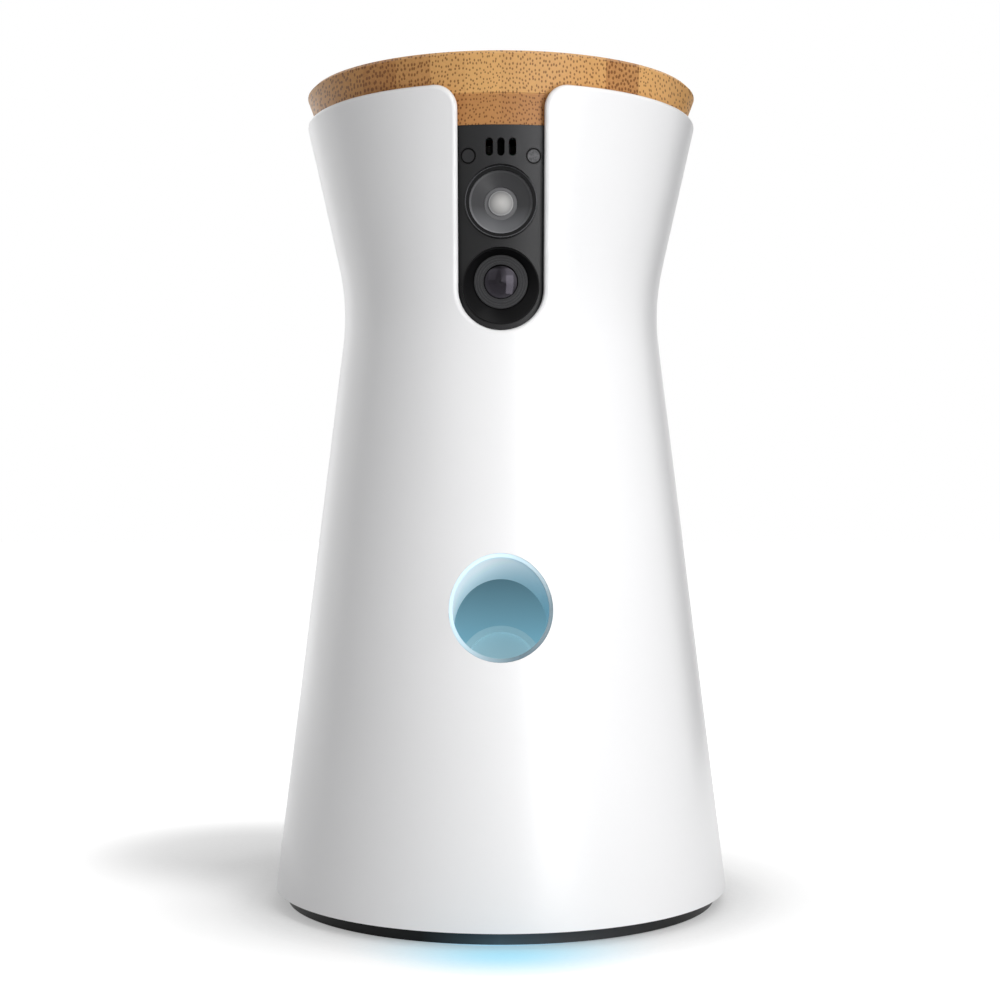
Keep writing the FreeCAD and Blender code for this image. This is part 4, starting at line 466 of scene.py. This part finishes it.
def lens_glass():
    """Coated optical glass over a blacked barrel: it looks nearly black from outside, with a darker pupil,
    the edge of the element behind it and one paler side, a painted reflection of the room."""
    material, tree, where = begin("coated_optical_glass")
    radius, height, _ = round_face("camera_lens", UP)
    upper_right = (0.85, 0, 0.53)
    flat = add(tree, "VectorMath", {0: where, 1: (1, 0, 1)}, operation="MULTIPLY")
    outwards = add(tree, "VectorMath", {0: flat, 1: (0, 0, height)}, operation="SUBTRACT")
    away = add(tree, "VectorMath", {0: outwards}, operation="LENGTH")
    across = add(tree, "MapRange", {"Value": away.outputs["Value"], "From Max": radius})
    depth = add(tree, "ValToRGB", {"Fac": across},
                stops=[(0.08, linear("#030303")), (0.14, linear("#1b191c")), (0.36, linear("#120f13")),
                       (0.7, linear("#1c1a1e")), (0.88, linear("#2b292d")), (0.95, linear("#070707"))])
    # painted reflection: the side towards the upper right is paler
    facing = add(tree, "VectorMath", {0: outwards}, operation="NORMALIZE")
    side = add(tree, "VectorMath", {0: facing, 1: upper_right}, operation="DOT_PRODUCT")
    painted_reflection = add(tree, "MapRange", {"Value": side.outputs["Value"], "From Min": 0.45, "From Max": 0.95,
                                      "To Max": 0.75})
    inside = add(tree, "MapRange", {"Value": across, "From Min": 0.9, "From Max": 0.94, "To Min": 1.0,
                                    "To Max": 0.0})
    paler = add(tree, "Math", {0: painted_reflection, 1: inside}, operation="MULTIPLY")
    tone = add(tree, "Mix", {FACTOR: paler, FIRST: depth, SECOND: rgba(linear("#4e4b51"))}, data_type="RGBA")
    return surfaced(material, tree, {
        "Base Color": tone, "Roughness": 0.06, "IOR": 1.52, "Transmission Weight": 0.15,
        "Specular IOR Level": 0.3, "Specular Tint": rgba(linear("#c9c2d2"))})


def status_acrylic(colours):
    """Clear acrylic bar carrying the status light, brightest over the diodes in its middle."""
    material, tree, where = begin("lit_clear_acrylic")
    diodes_end, bar_end = 4 * MM, 19 * MM
    parts = add(tree, "SeparateXYZ", {"Vector": where})
    aside = add(tree, "Math", {0: parts.outputs["X"]}, operation="ABSOLUTE")
    fade = add(tree, "MapRange", {"Value": aside, "From Min": diodes_end, "From Max": bar_end, "To Min": 2.2,
                                  "To Max": 0.3})
    grain = add(tree, "TexNoise", {"Vector": where, "Scale": per_mm(0.8)})
    gloss = varied(tree, grain, 0.2, 0.3)
    return surfaced(material, tree, {
        "Base Color": rgba(colours.status), "Roughness": gloss, "IOR": 1.49,
        "Emission Color": rgba(colours.status), "Emission Strength": fade})


def skirt_plastic():
    """Black ABS of the band under the shell, with painted light along it: black on the left, a bluish painted
    sheen of the status light in its middle and grey towards the right.
    """
    material, tree, where = begin("semi_gloss_black_ABS")
    shown_half = 50 * MM
    parts = add(tree, "SeparateXYZ", {"Vector": where})
    along = add(tree, "MapRange", {"Value": parts.outputs["X"], "From Min": -shown_half,
                                   "From Max": shown_half})
    # painted light: black on the shaded left, a bluish painted sheen in the middle, grey on the lit right
    tone = add(tree, "ValToRGB", {"Fac": along},
               stops=[(0.1, linear("#020202")), (0.3, linear("#040505")), (0.5, linear("#4f6069")),
                      (0.66, linear("#47484a")), (0.95, linear("#1d1d1d"))])
    grain = add(tree, "TexNoise", {"Vector": where, "Scale": per_mm(0.4)})
    gloss = varied(tree, grain, 0.32, 0.4)
    return surfaced(material, tree, {"Base Color": tone, "Roughness": gloss, "IOR": 1.5,
                                     "Specular IOR Level": 0.2})


def board_laminate():
    """Glass-fibre board under green solder mask: copper tracks show as slightly raised paler lines."""
    material, tree, where = begin("solder_masked_laminate")
    tracks = add(tree, "TexBrick", {
        "Vector": where, "Scale": per_mm(1.1), "Mortar Size": 0.06, "Color1": rgba(linear("#0f4a2a")),
        "Color2": rgba(linear("#0c3f24")), "Mortar": rgba(linear("#2b7a4b"))}, offset=0.37)
    bump = add(tree, "Bump", {"Height": tracks.outputs["Fac"], "Distance": 0.02 * MM})
    return surfaced(material, tree, {"Base Color": tracks, "Roughness": 0.32, "IOR": 1.55,
                                     "Normal": bump})


def speaker_weave(sizes):
    """Black woven polyester: crossing threads with light between them."""
    material, tree, where = begin("black_woven_polyester")
    # a wave texture's bands come 20 to its scale's unit over one turn
    often = math.tau / (20 * sizes.cloth_pitch)
    warp = add(tree, "TexWave", {"Vector": where, "Scale": often}, bands_direction="X")
    weft = add(tree, "TexWave", {"Vector": where, "Scale": often}, bands_direction="Z")
    threads = add(tree, "Math", {0: warp.outputs["Fac"], 1: weft.outputs["Fac"]}, operation="MAXIMUM")
    tone = add(tree, "ValToRGB", {"Fac": threads},
               stops=[(0.35, linear("#050506")), (0.9, linear("#232326"))])
    bump = add(tree, "Bump", {"Height": threads, "Distance": 0.12 * MM})
    return surfaced(material, tree, {"Base Color": tone, "Roughness": 0.85, "Normal": bump})


# ---- modelling ----------------------------------------------------------------------------------------

def deselect():
    if bpy.context.object and bpy.context.object.mode != "OBJECT":
        bpy.ops.object.mode_set(mode="OBJECT")
    bpy.ops.object.select_all(action="DESELECT")


def settle(piece, name, body, material):
    """Name a modelled piece, put its place in its mesh, smooth it and tie it to its body."""
    piece.name = name
    piece.data.name = name
    deselect()
    piece.select_set(True)
    bpy.context.view_layer.objects.active = piece
    bpy.ops.object.transform_apply(location=True, rotation=True, scale=True)
    bpy.ops.object.shade_smooth_by_angle(angle=math.radians(35))
    piece.data.materials.clear()
    piece.data.materials.append(material)
    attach(piece, body)
    return piece


def soften(piece, width, segments=3):
    """Round every sharp edge and apply it."""
    bevel = piece.modifiers.new("edges", "BEVEL")
    bevel.width = width
    bevel.segments = segments
    bevel.limit_method = "ANGLE"
    bpy.context.view_layer.objects.active = piece
    bpy.ops.object.modifier_apply(modifier=bevel.name)


def front_ring(inner, outer, front, back, height, steps, edge):
    """A ring facing forwards: a circle widened to its outer edge, given depth and softened."""
    deselect()
    bpy.ops.mesh.primitive_circle_add(vertices=steps, radius=inner, location=(0, front, height),
                                      rotation=(math.pi / 2, 0, 0))
    piece = bpy.context.object
    bpy.ops.object.mode_set(mode="EDIT")
    bpy.ops.mesh.select_all(action="SELECT")
    bpy.ops.mesh.extrude_edges_move()
    bpy.ops.transform.resize(value=(outer / inner,) * 3, center_override=(0, front, height))
    bpy.ops.mesh.select_all(action="SELECT")
    bpy.ops.mesh.extrude_region_move(TRANSFORM_OT_translate={"value": (0, back - front, 0)})
    bpy.ops.mesh.select_all(action="SELECT")
    bpy.ops.mesh.normals_make_consistent(inside=False)
    bpy.ops.object.mode_set(mode="OBJECT")
    soften(piece, edge)
    return piece


def dress(material, *names):
    """Give CAD nodes a finish."""
    for name in names:
        for material_slot in NODES[name].material_slots:
            material_slot.material = material


def settings(context):
    return context.scene.pet_camera_sizes, context.scene.pet_camera_colours


# ---- operators --------------------------------------------------------------------------------------

class PETCAM_OT_shell(bpy.types.Operator):
    """Finish the two halves of the white shell"""
    bl_idname = "petcam.shell"
    bl_label = "White shell"

    def execute(self, context):
        sizes, colours = settings(context)
        # clean gloss white, which draws long soft highlights down the waist
        dress(shell_plastic(sizes, colours), "front_shell", "rear_shell")
        return {"FINISHED"}


class PETCAM_OT_lid(bpy.types.Operator):
    """Finish the bamboo lid and its silicone seal"""
    bl_idname = "petcam.lid"
    bl_label = "Bamboo lid"

    def execute(self, context):
        # warm, satin wood with dark end grain: the only natural material on the object
        dress(lid_bamboo(*settings(context)), "lid_board")
        # milky and soft, seen only when the lid is off
        dress(moulded("translucent_silicone", linear("#d8d8d6"), 0.45, grain_mm=0.6), "lid_seal")
        return {"FINISHED"}


class PETCAM_OT_panel(bpy.types.Operator):
    """Finish the dark panel in the notch, its windows and the microphone behind its slots"""
    bl_idname = "petcam.panel"
    bl_label = "Camera panel"

    def execute(self, context):
        sizes, colours = settings(context)
        # a quiet dark ground, on which the lamp and the lens stand out
        dress(panel_plastic(colours), "camera_panel")
        # a shade lighter than the panel, and set off by its dark line
        dress(smoked_window(sizes), "sensor_windows")
        # a matt black cover, so that the slots look empty
        dress(moulded("microphone_cover_foam", linear("#030303"), 0.9, grain_mm=0.4, shine=0.1), "microphone")
        return {"FINISHED"}


class PETCAM_OT_lamp(bpy.types.Operator):
    """Finish the ring lamp and add the plated trim round it"""
    bl_idname = "petcam.lamp"
    bl_label = "Ring lamp"

    def execute(self, context):
        sizes, colours = settings(context)
        # deep gloss black: the recess round the reflector reads as a dark ring
        dress(moulded("gloss_black_ABS", colours.black, 0.18, grain_mm=0.5, shine=0.2), "lamp_bezel")
        # grey with painted shade that brightens downwards, so the cone reads as hollow
        dress(lamp_cone(colours), "lamp_reflector")
        # the palest spot of the panel
        dress(lamp_frost(colours), "lamp_core")
        radius, height, front = round_face("lamp_bezel")
        wire = sizes.trim_wire
        ring = front_ring(radius - 2 * wire, radius, front - wire * 0.5, front + wire, height,
                          sizes.ring_steps, wire * 0.4)
        # dark plating: a thin line that shines only where a lamp meets it
        trim = worked_metal("black_chrome", linear("#474749"), 0.38)
        settle(ring, "lamp_trim", "housing", trim)
        return {"FINISHED"}


class PETCAM_OT_wide_lens(bpy.types.Operator):
    """Finish the wide lens and add the stepped baffle behind its glass"""
    bl_idname = "petcam.wide_lens"
    bl_label = "Wide lens"

    def execute(self, context):
        sizes, colours = settings(context)
        # near black, with a faint satin shine low in the cone
        dress(moulded("satin_black_ABS", colours.black, 0.34, grain_mm=0.4, shine=0.12), "camera_bezel")
        # blacked so that hardly anything shows through the lens
        dress(moulded("blackened_aluminium", linear("#19191b"), 0.45, grain_mm=2, shine=0.3), "camera_barrel")
        # the darkest, glossiest spot of the panel
        dress(lens_glass(), "camera_lens")
        radius, height, front = round_face("camera_barrel")
        # a little lighter than the barrel, so that the steps round the glass show
        baffle = moulded("ridged_black_ABS", linear("#29292b"), 0.4, grain_mm=0.3, shine=0.3)
        step, proud, sunk, edge = sizes.lens_step, 0.08 * MM, 0.05 * MM, 0.03 * MM
        for index in range(3):
            outer = radius - step * (index * 1.25 + 0.4)
            ring = front_ring(outer - step * 0.45, outer, front - proud, front + sunk, height,
                              sizes.ring_steps, edge)
            settle(ring, "lens_ridge_%d" % (index + 1), "housing", baffle)
        return {"FINISHED"}


class PETCAM_OT_mouth(bpy.types.Operator):
    """Finish the mouth, the launch chamber and the tossing arm"""
    bl_idname = "petcam.mouth"
    bl_label = "Mouth and launcher"

    def execute(self, context):
        _, colours = settings(context)
        # a rim with painted light and a painted glow, with a cool wall behind it, the one coloured spot of
        # the shell
        dress(mouth_plastic(colours), "mouth_liner")
        # teal with painted shade that deepens towards the chamber's roof, and a painted glow
        chamber = launcher_plastic("tinted_ABS", colours.teal, colours.teal_painted_shade)
        dress(chamber, "launch_chamber", "drop_chute")
        # a paler teal, painted light on the arm that the front light reaches, so that the arm's dish shows as
        # a step at the back of the mouth
        dress(launcher_plastic("painted_light_tinted_ABS", colours.teal_painted_light, colours.teal), "toss_arm")
        return {"FINISHED"}


class PETCAM_OT_foot(bpy.types.Operator):
    """Finish the foot, the base and the status light under the front"""
    bl_idname = "petcam.foot"
    bl_label = "Foot and status light"

    def execute(self, context):
        _, colours = settings(context)
        # matt and slightly rough, so it gives no reflection beside the glossy parts
        dress(moulded("black_rubber", linear("#131314"), 0.72, grain_mm=0.7, depth_mm=0.02), "foot_ring",
              "stop_pad")
        # a thin dark line that lifts the white shell off the floor, with painted light along it
        dress(skirt_plastic(), "base_plate")
        # bright cyan, seen only from below and as light on the floor, where its spill is also painted on the
        # paper
        dress(status_acrylic(colours), "light_guide")
        return {"FINISHED"}


class PETCAM_OT_rear(bpy.types.Operator):
    """Finish the power socket and reset button, and add cloth behind the speaker holes"""
    bl_idname = "petcam.rear"
    bl_label = "Rear fittings"

    def execute(self, context):
        sizes, _ = settings(context)
        # bright metal in the dark of the socket's opening
        dress(worked_metal("nickel_plated_steel", linear("#c4c6c8"), 0.3, along=(1, 0.1, 1)), "power_socket")
        # dark and matt, so that the button is easy to find on the white shell
        dress(moulded("charcoal_ABS", linear("#2f3033"), 0.45), "reset_button")
        radius, height, _ = round_face("speaker_frame")
        _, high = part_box("speaker_frame")
        cloth_share, cloth_gap, cloth_wall, cloth_edge = 0.92, 0.4 * MM, 0.3 * MM, 0.08 * MM
        deselect()
        bpy.ops.mesh.primitive_circle_add(vertices=sizes.ring_steps, radius=radius * cloth_share,
                                          fill_type="TRIFAN", location=(0, high[1] + cloth_gap, height),
                                          rotation=(math.pi / 2, 0, 0))
        cloth = bpy.context.object
        bpy.ops.object.mode_set(mode="EDIT")
        bpy.ops.mesh.select_all(action="SELECT")
        bpy.ops.mesh.extrude_region_move(TRANSFORM_OT_translate={"value": (0, cloth_wall, 0)})
        bpy.ops.mesh.select_all(action="SELECT")
        bpy.ops.mesh.normals_make_consistent(inside=False)
        bpy.ops.object.mode_set(mode="OBJECT")
        soften(cloth, cloth_edge, segments=2)
        settle(cloth, "speaker_cloth", "housing", speaker_weave(sizes))
        return {"FINISHED"}


class PETCAM_OT_mechanism(bpy.types.Operator):
    """Finish everything that works inside the shell"""
    bl_idname = "petcam.mechanism"
    bl_label = "Mechanism"

    def execute(self, context):
        # off-white and satin, like a clean food box
        dress(moulded("food_safe_polypropylene", linear("#e4e5e4"), 0.4), "hopper", "treat_shield")
        # creamy and slightly waxy, as gears and rollers are
        dress(moulded("natural_acetal", linear("#eeeadc"), 0.36), "metering_wheel", "wheel_gear",
              "wheel_pinion", "toss_gear", "toss_pinion")
        # mid grey, which parts the frame from what it carries
        dress(moulded("structural_ABS", linear("#4a4c50"), 0.5), "deck_posts", "mechanism_deck",
              "motor_plate", "plate_spacers", "chamber_stand", "speaker_boss")
        # cool grey with fine lines along the shafts and cans
        dress(worked_metal("drawn_steel", linear("#b4b6b9"), 0.34, along=(1, 1, 0.1)), "ballast_plate",
              "wheel_shaft", "wheel_motor", "toss_shaft", "spring_collar", "toss_spring", "toss_motor",
              "shield_can", "speaker_frame", "deck_screws", "shell_screws", "hopper_screws")
        # dull warm metal, which marks the bearings
        dress(worked_metal("sintered_bronze", linear("#b98a4e"), 0.45), "wheel_bush", "shaft_bush_right",
              "shaft_bush_left")
        # the usual green with paler tracks
        dress(board_laminate(), "status_light_board", "front_board", "main_board", "rear_board")
        # matt black, as switch and sensor bodies are
        dress(moulded("black_component_plastic", linear("#17171a"), 0.5), "treat_sensor", "arm_switch",
              "reset_switch")
        # dark and fibrous, with hardly any shine
        dress(moulded("pressed_paper", linear("#1d1c1b"), 0.8, grain_mm=0.5, depth_mm=0.03), "speaker_cone")
        return {"FINISHED"}


class PETCAM_OT_stage(bpy.types.Operator):
    """Set up the pale floor, the studio light and the camera"""
    bl_idname = "petcam.stage"
    bl_label = "Stage, light and camera"

    def execute(self, context):
        sizes, colours = settings(context)
        deselect()
        bpy.ops.mesh.primitive_plane_add(size=12.0)
        floor = context.object
        floor.name = "floor"
        floor.data.materials.append(self.floor_paper(colours))
        for softbox in SOFTBOXES:
            self.softbox(*softbox)
        self.flag("flag_right", 0.42, 0.4, -35)
        self.world(context)
        view = bpy.data.cameras.new("view")
        view.lens = sizes.view_lens
        view.sensor_width = VIEW_SENSOR
        view.shift_x, view.shift_y = VIEW_SHIFT
        camera = bpy.data.objects.new("view", view)
        camera.location = (VIEW_ASIDE, -sizes.view_distance, sizes.view_height)
        camera.rotation_euler = (math.pi / 2, 0, 0)
        context.scene.collection.objects.link(camera)
        context.scene.camera = camera
        context.scene.view_settings.view_transform = "Standard"
        return {"FINISHED"}

    def softbox(self, name, where, size, power):
        """A rectangular softbox that looks at the middle of the object."""
        light = bpy.data.lights.new(name, "AREA")
        light.shape = "RECTANGLE"
        light.size, light.size_y = size
        light.energy = power
        item = bpy.data.objects.new(name, light)
        item.location = where
        aim = Vector((0, 0, (CAD_BOX[0][2] + CAD_BOX[1][2]) / 2)) - Vector(where)
        item.rotation_euler = aim.to_track_quat("-Z", "Y").to_euler()
        bpy.context.scene.collection.objects.link(item)

    def flag(self, name, x, y, turn):
        """A grey card beside and behind the object, which draws a soft edge down its gloss."""
        card_width, card_height, middle_height = 0.28, 0.75, 0.3
        deselect()
        bpy.ops.mesh.primitive_plane_add(size=1.0, location=(x, y, middle_height),
                                         rotation=(math.pi / 2, 0, math.radians(turn)))
        card = bpy.context.object
        card.name = name
        card.scale = (card_width, card_height, 1)
        bpy.ops.object.transform_apply(location=True, rotation=True, scale=True)
        material, tree, where = begin("grey_card")
        fibre = add(tree, "TexNoise", {"Vector": where, "Scale": per_mm(2)})
        tone = two_tone(tree, fibre, linear("#3a3a3a"), linear("#404040"))
        add(tree, "OutputMaterial", {"Surface": add(tree, "BsdfDiffuse", {"Color": tone})})
        card.data.materials.append(material)

    def floor_paper(self, colours):
        """Matt white paper; where it is seen it is lifted to white beyond the object's shadow, which is
        partly real and partly painted, and the status light's spill is painted on it as a cyan pool in front
        of the foot."""
        material, tree, where = begin("matt_white_paper")
        fibre = add(tree, "TexNoise", {"Vector": where, "Scale": per_mm(1.5), "Detail": 4.0})
        tone = two_tone(tree, fibre, linear("#b6b6b6"), linear("#bababa"))
        # painted light: the status light's spill is a crescent painted in front of the foot: 1 in its middle,
        # 0 where it ends
        front_only, crescent, sideways = -30 * MM, (68 * MM, 92 * MM), (1 * MM, 41 * MM)
        away = add(tree, "VectorMath", {0: where}, operation="LENGTH")
        parts = add(tree, "SeparateXYZ", {"Vector": where})
        before = add(tree, "Math", {0: parts.outputs["Y"], 1: front_only}, operation="LESS_THAN")
        out = add(tree, "MapRange", {"Value": away.outputs["Value"], "From Min": crescent[0],
                                     "From Max": crescent[1], "To Min": 0.0, "To Max": 1.0}, clamp=False)
        aside = add(tree, "MapRange", {"Value": parts.outputs["X"], "From Min": sideways[0],
                                       "From Max": sideways[1], "To Min": 0.0, "To Max": 1.0}, clamp=False)
        around = add(tree, "CombineXYZ", {"X": aside, "Y": out})
        outwards = add(tree, "VectorMath", {0: around}, operation="LENGTH")
        spot = add(tree, "MapRange", {"Value": outwards.outputs["Value"], "From Min": 0.0, "From Max": 1.1,
                                      "To Min": 1.0, "To Max": 0.0}, interpolation_type="SMOOTHSTEP")
        lit = add(tree, "Math", {0: spot, 1: before}, operation="MULTIPLY")
        tint = add(tree, "Mix", {FACTOR: lit, FIRST: (1, 1, 1, 1), SECOND: rgba(colours.spill)},
                   data_type="RGBA")
        tinted = add(tree, "Mix", {FACTOR: 1.0, FIRST: tone, SECOND: tint}, data_type="RGBA",
                     blend_type="MULTIPLY")
        paper = add(tree, "BsdfDiffuse", {"Color": tinted})
        # painted shadow: the lift is lower near the foot, so the paper darkens round it
        spread = add(tree, "ValToRGB", {"Fac": away.outputs["Value"]},
                     stops=[(0.06, (0.34,) * 3), (0.07, (0.42,) * 3), (0.08, (0.56,) * 3), (0.1, (0.72,) * 3),
                            (0.14, (0.9,) * 3), (0.18, (1.0,) * 3)])
        # a faint painted shadow behind the foot on the left
        shadow_middle = (-85 * MM, 65 * MM, 0)
        behind = add(tree, "VectorMath", {0: where, 1: shadow_middle}, operation="DISTANCE")
        shadow = add(tree, "MapRange", {"Value": behind.outputs["Value"], "From Min": 0.02, "From Max": 0.075,
                                        "To Min": 0.6, "To Max": 1.0}, interpolation_type="SMOOTHSTEP")
        lifted = add(tree, "Math", {0: spread, 1: shadow}, operation="MULTIPLY")
        missing = add(tree, "Math", {0: 1.0, 1: lifted}, operation="SUBTRACT")
        # painted light: the spill brightens the seen paper towards white
        painted_spill_light = add(tree, "Math", {0: lit, 1: missing}, operation="MULTIPLY")
        brighter = add(tree, "Math", {0: painted_spill_light, 1: 0.45, 2: lifted}, operation="MULTIPLY_ADD")
        shown = add(tree, "Math", {0: self.seen(tree), 1: brighter}, operation="MULTIPLY")
        lift = add(tree, "Emission", {"Color": tint, "Strength": shown})
        both = add(tree, "AddShader", {0: paper, 1: lift})
        add(tree, "OutputMaterial", {"Surface": both})
        return material

    def seen(self, tree):
        """1 on rays that show a surface: straight, in a gloss or through glass."""
        rays = add(tree, "LightPath")
        shown = add(tree, "Math", {0: rays.outputs["Is Camera Ray"], 1: rays.outputs["Is Glossy Ray"]},
                    operation="MAXIMUM")
        return add(tree, "Math", {0: shown, 1: rays.outputs["Is Transmission Ray"]}, operation="MAXIMUM")

    def world(self, context):
        """Plain pale surroundings, white where they are seen."""
        world = bpy.data.worlds.new("surroundings")
        context.scene.world = world
        world.use_nodes = True
        tree = world.node_tree
        tree.nodes.clear()
        strength = add(tree, "MapRange", {"Value": self.seen(tree), "To Min": 0.3, "To Max": 1.0})
        shader = add(tree, "Background", {"Color": (1, 1, 1, 1), "Strength": strength})
        add(tree, "OutputWorld", {"Surface": shader})


MAKERS = (PETCAM_OT_shell, PETCAM_OT_lid, PETCAM_OT_panel, PETCAM_OT_lamp, PETCAM_OT_wide_lens,
          PETCAM_OT_mouth, PETCAM_OT_foot, PETCAM_OT_rear, PETCAM_OT_mechanism, PETCAM_OT_stage)


class PETCAM_PT_sidebar(bpy.types.Panel):
    """Lists the makers, sizes and colours"""
    bl_idname = "PETCAM_PT_sidebar"
    bl_label = "Pet Camera"
    bl_space_type = "VIEW_3D"
    bl_region_type = "UI"
    bl_category = "Pet Camera"

    def draw(self, context):
        for maker in MAKERS:
            self.layout.operator(maker.bl_idname)
        for group in settings(context):
            for name in group.__annotations__:
                self.layout.prop(group, name)


CLASSES = (PetCameraSizes, PetCameraColours) + MAKERS + (PETCAM_PT_sidebar,)


def register():
    for item in CLASSES:
        bpy.utils.register_class(item)
    bpy.types.Scene.pet_camera_sizes = PointerProperty(type=PetCameraSizes)
    bpy.types.Scene.pet_camera_colours = PointerProperty(type=PetCameraColours)


def unregister():
    del bpy.types.Scene.pet_camera_colours
    del bpy.types.Scene.pet_camera_sizes
    for item in reversed(CLASSES):
        bpy.utils.unregister_class(item)


def main():
    register()
    bpy.ops.petcam.shell()
    bpy.ops.petcam.lid()
    bpy.ops.petcam.panel()
    bpy.ops.petcam.lamp()
    bpy.ops.petcam.wide_lens()
    bpy.ops.petcam.mouth()
    bpy.ops.petcam.foot()
    bpy.ops.petcam.rear()
    bpy.ops.petcam.mechanism()
    bpy.ops.petcam.stage()


if __name__ == "__main__":
    main()
